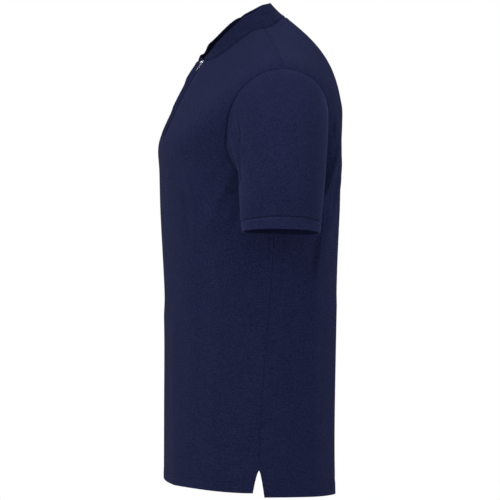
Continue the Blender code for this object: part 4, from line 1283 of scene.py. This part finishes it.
def seam_strip(angle, station, direction, halves=SEAM_STRIP):
    """A strip behind the cloth along a line of angles and stations, across or along the body's rows."""
    out = normals(plain_body, angle, station)
    path = plain_body(angle, station) + out * (body_relief(angle, station) - CLOTH - STRIP_DEPTH)[..., None]
    across = np.cross(unit(np.gradient(path, axis=0)), out) * direction
    return oval_tube(path, across, out, *halves, STRIP_CORNERS, STRIP_END)


runs = (np.linspace(VENT_TOP + 4, UNDERARM - 1, 180), np.linspace(SHOULDER_TIP + 1, NECK - 2, 70))
strips = [seam_strip(np.full(len(run), side * np.pi / 2), run, side) for run in runs for side in (-1, 1)]
neck_turn = np.linspace(collar_end + 0.03, 2 * np.pi - collar_end - 0.03, 260)
strips.append(seam_strip(neck_turn, np.full(260, NECK - 0.5), 1, NECK_STRIP))
for side in (-1, 1):
    strips.append(seam_strip(*armhole_edge(side, np.linspace(0.01, 2 * np.pi - 0.01, 300)), side))
    ring_path = cuff_ring(side, np.linspace(0, 2 * np.pi, 160), np.full(160, 0.0))
    centre, _, _, down = cuff_frame(side)
    out = unit(ring_path - centre)
    across = np.repeat(down[None], 160, 0)
    strips.append(oval_tube(ring_path - out * CUFF_STRIP_IN, across, out, *CUFF_STRIP, STRIP_CORNERS, STRIP_END))
seam_strips = make_piece("seam_strips", *joined(*strips), overlock, slot="knit")

# %% [markdown]
# ## How large the cloth is, laid flat
# Each cloth piece says how large it is when laid flat, so that a wrong scale shows up as a wrong
# area. It is what shows: without seam allowances, the turned-up hem or a doubled band's inner half. The sleeves, the
# cuffs and the collar are sewn round, and their width here is all the way round.


def cloth_area(piece):
    """Half the area of a closed wall, in square metres, as its two faces lie on each other."""
    sizes = np.zeros(len(piece.data.polygons))
    piece.data.polygons.foreach_get("area", sizes)
    return sizes.sum() / 2


SHEETS = (
    # piece, width, length and area, in metres and square metres
    (front_cloth, 0.58, 0.80, 0.36),
    (back_cloth, 0.58, 0.82, 0.37),
    (sleeves["left"], 0.42, 0.24, 0.069),
    (sleeves["right"], 0.42, 0.24, 0.069),
    (cuffs["left"], 0.37, 0.018, None),
    (cuffs["right"], 0.37, 0.018, None),
    (collar_rib, 0.42, 0.038, 0.0125),
    (tapes["left"], 0.015, 0.13, None),
    (tapes["right"], 0.015, 0.13, None),
)
for piece, width, length, area in SHEETS:
    print(f"{piece.name}: {width} x {length}, area {area}, measured {cloth_area(piece):.4f}")

# %% [markdown]
# ## Room, light and camera
# The shirt was photographed from its left side with a long lens against pure white. The camera sees a white world
# behind it. As a light the world is dimmer, and a little stronger from above and from the front. Three soft lamps
# lift the chest, the upper back and the tops of the shoulders, as the photograph shows. The pale floor sends light
# back up but is hidden from the camera, so that a view from below is free too.

# %% Floor and world
ROOM_FILL, ROOM_RISE_UP, ROOM_FALL_BACK = 0.56, 0.22, 0.04  # all round, more from above, less from behind
FLOOR_HALF, FLOOR_BELOW = 3.0, 0.5
mesh = bpy.data.meshes.new("floor")
corners = [(x * FLOOR_HALF, y * FLOOR_HALF) for x, y in ((-1, -1), (1, -1), (1, 1), (-1, 1))]
mesh.from_pydata([(x, y, cad_low.z - FLOOR_BELOW) for x, y in corners], [], [(0, 1, 2, 3)])
floor = bpy.data.objects.new("floor", mesh)
bpy.context.collection.objects.link(floor)
mesh.materials.append(start_look("pale floor", (0.90, 0.90, 0.90), 0.9)[0])
floor.visible_camera = False
world = bpy.data.worlds.new("white room")
bpy.context.scene.world = world
world.use_nodes = True
room, white = world.node_tree, world.node_tree.nodes["Background"]
white.inputs["Color"].default_value = (1.0, 1.0, 1.0, 1.0)
towards = room.nodes.new("ShaderNodeSeparateXYZ")
room.links.new(room.nodes.new("ShaderNodeTexCoord").outputs["Generated"], towards.inputs[0])
behind = calc(room, "MULTIPLY", towards.outputs["Y"], ROOM_FALL_BACK)
fill = calc(room, "SUBTRACT", calc(room, "MULTIPLY_ADD", towards.outputs["Z"], ROOM_RISE_UP, ROOM_FILL), behind)
seen = room.nodes.new("ShaderNodeLightPath").outputs["Is Camera Ray"]
room.links.new(calc(room, "MAXIMUM", fill, seen), white.inputs["Strength"])

# %% Lamps
LAMPS = (
    # name, place, size, spread in degrees, watts
    ("front softbox", (1.6, -2.3, 1.5), 1.0, 60.0, 6.6),
    ("back softbox", (1.6, 2.3, 1.3), 1.0, 60.0, 4.0),
    ("top softbox", (0.9, -0.3, 2.0), 1.2, 180.0, 5.0),
)
target = Vector((0.0, -0.016, -0.05))  # the chest
for name, place, size, spread_angle, watts in LAMPS:
    lamp = bpy.data.lights.new(name, "AREA")
    lamp.shape = "DISK"
    lamp.size = size
    lamp.spread = np.radians(spread_angle)
    lamp.energy = watts
    lamp_object = bpy.data.objects.new(name, lamp)
    lamp_object.location = place
    lamp_object.rotation_euler = (target - Vector(place)).to_track_quat("-Z", "Y").to_euler()
    bpy.context.collection.objects.link(lamp_object)

# %% Camera
AZIMUTH, DISTANCE = np.radians(82.0), 5.0
METRES_PER_PIXEL, PIXELS_ACROSS, SENSOR = 0.00157, 500, 36.0
camera_data = bpy.data.cameras.new("camera")
camera_data.sensor_width = SENSOR
camera_data.lens = SENSOR * DISTANCE / (METRES_PER_PIXEL * PIXELS_ACROSS)
camera = bpy.data.objects.new("camera", camera_data)
aim = Vector((0.0, -0.0159, -0.3065))  # what the middle of the photograph shows
back_to_camera = Vector((np.sin(AZIMUTH), -np.cos(AZIMUTH), 0.0))
camera.location = aim + back_to_camera * DISTANCE
camera.rotation_euler = (-back_to_camera).to_track_quat("-Z", "Y").to_euler()
bpy.context.collection.objects.link(camera)
bpy.context.scene.camera = camera
bpy.context.scene.view_settings.view_transform = "Standard"
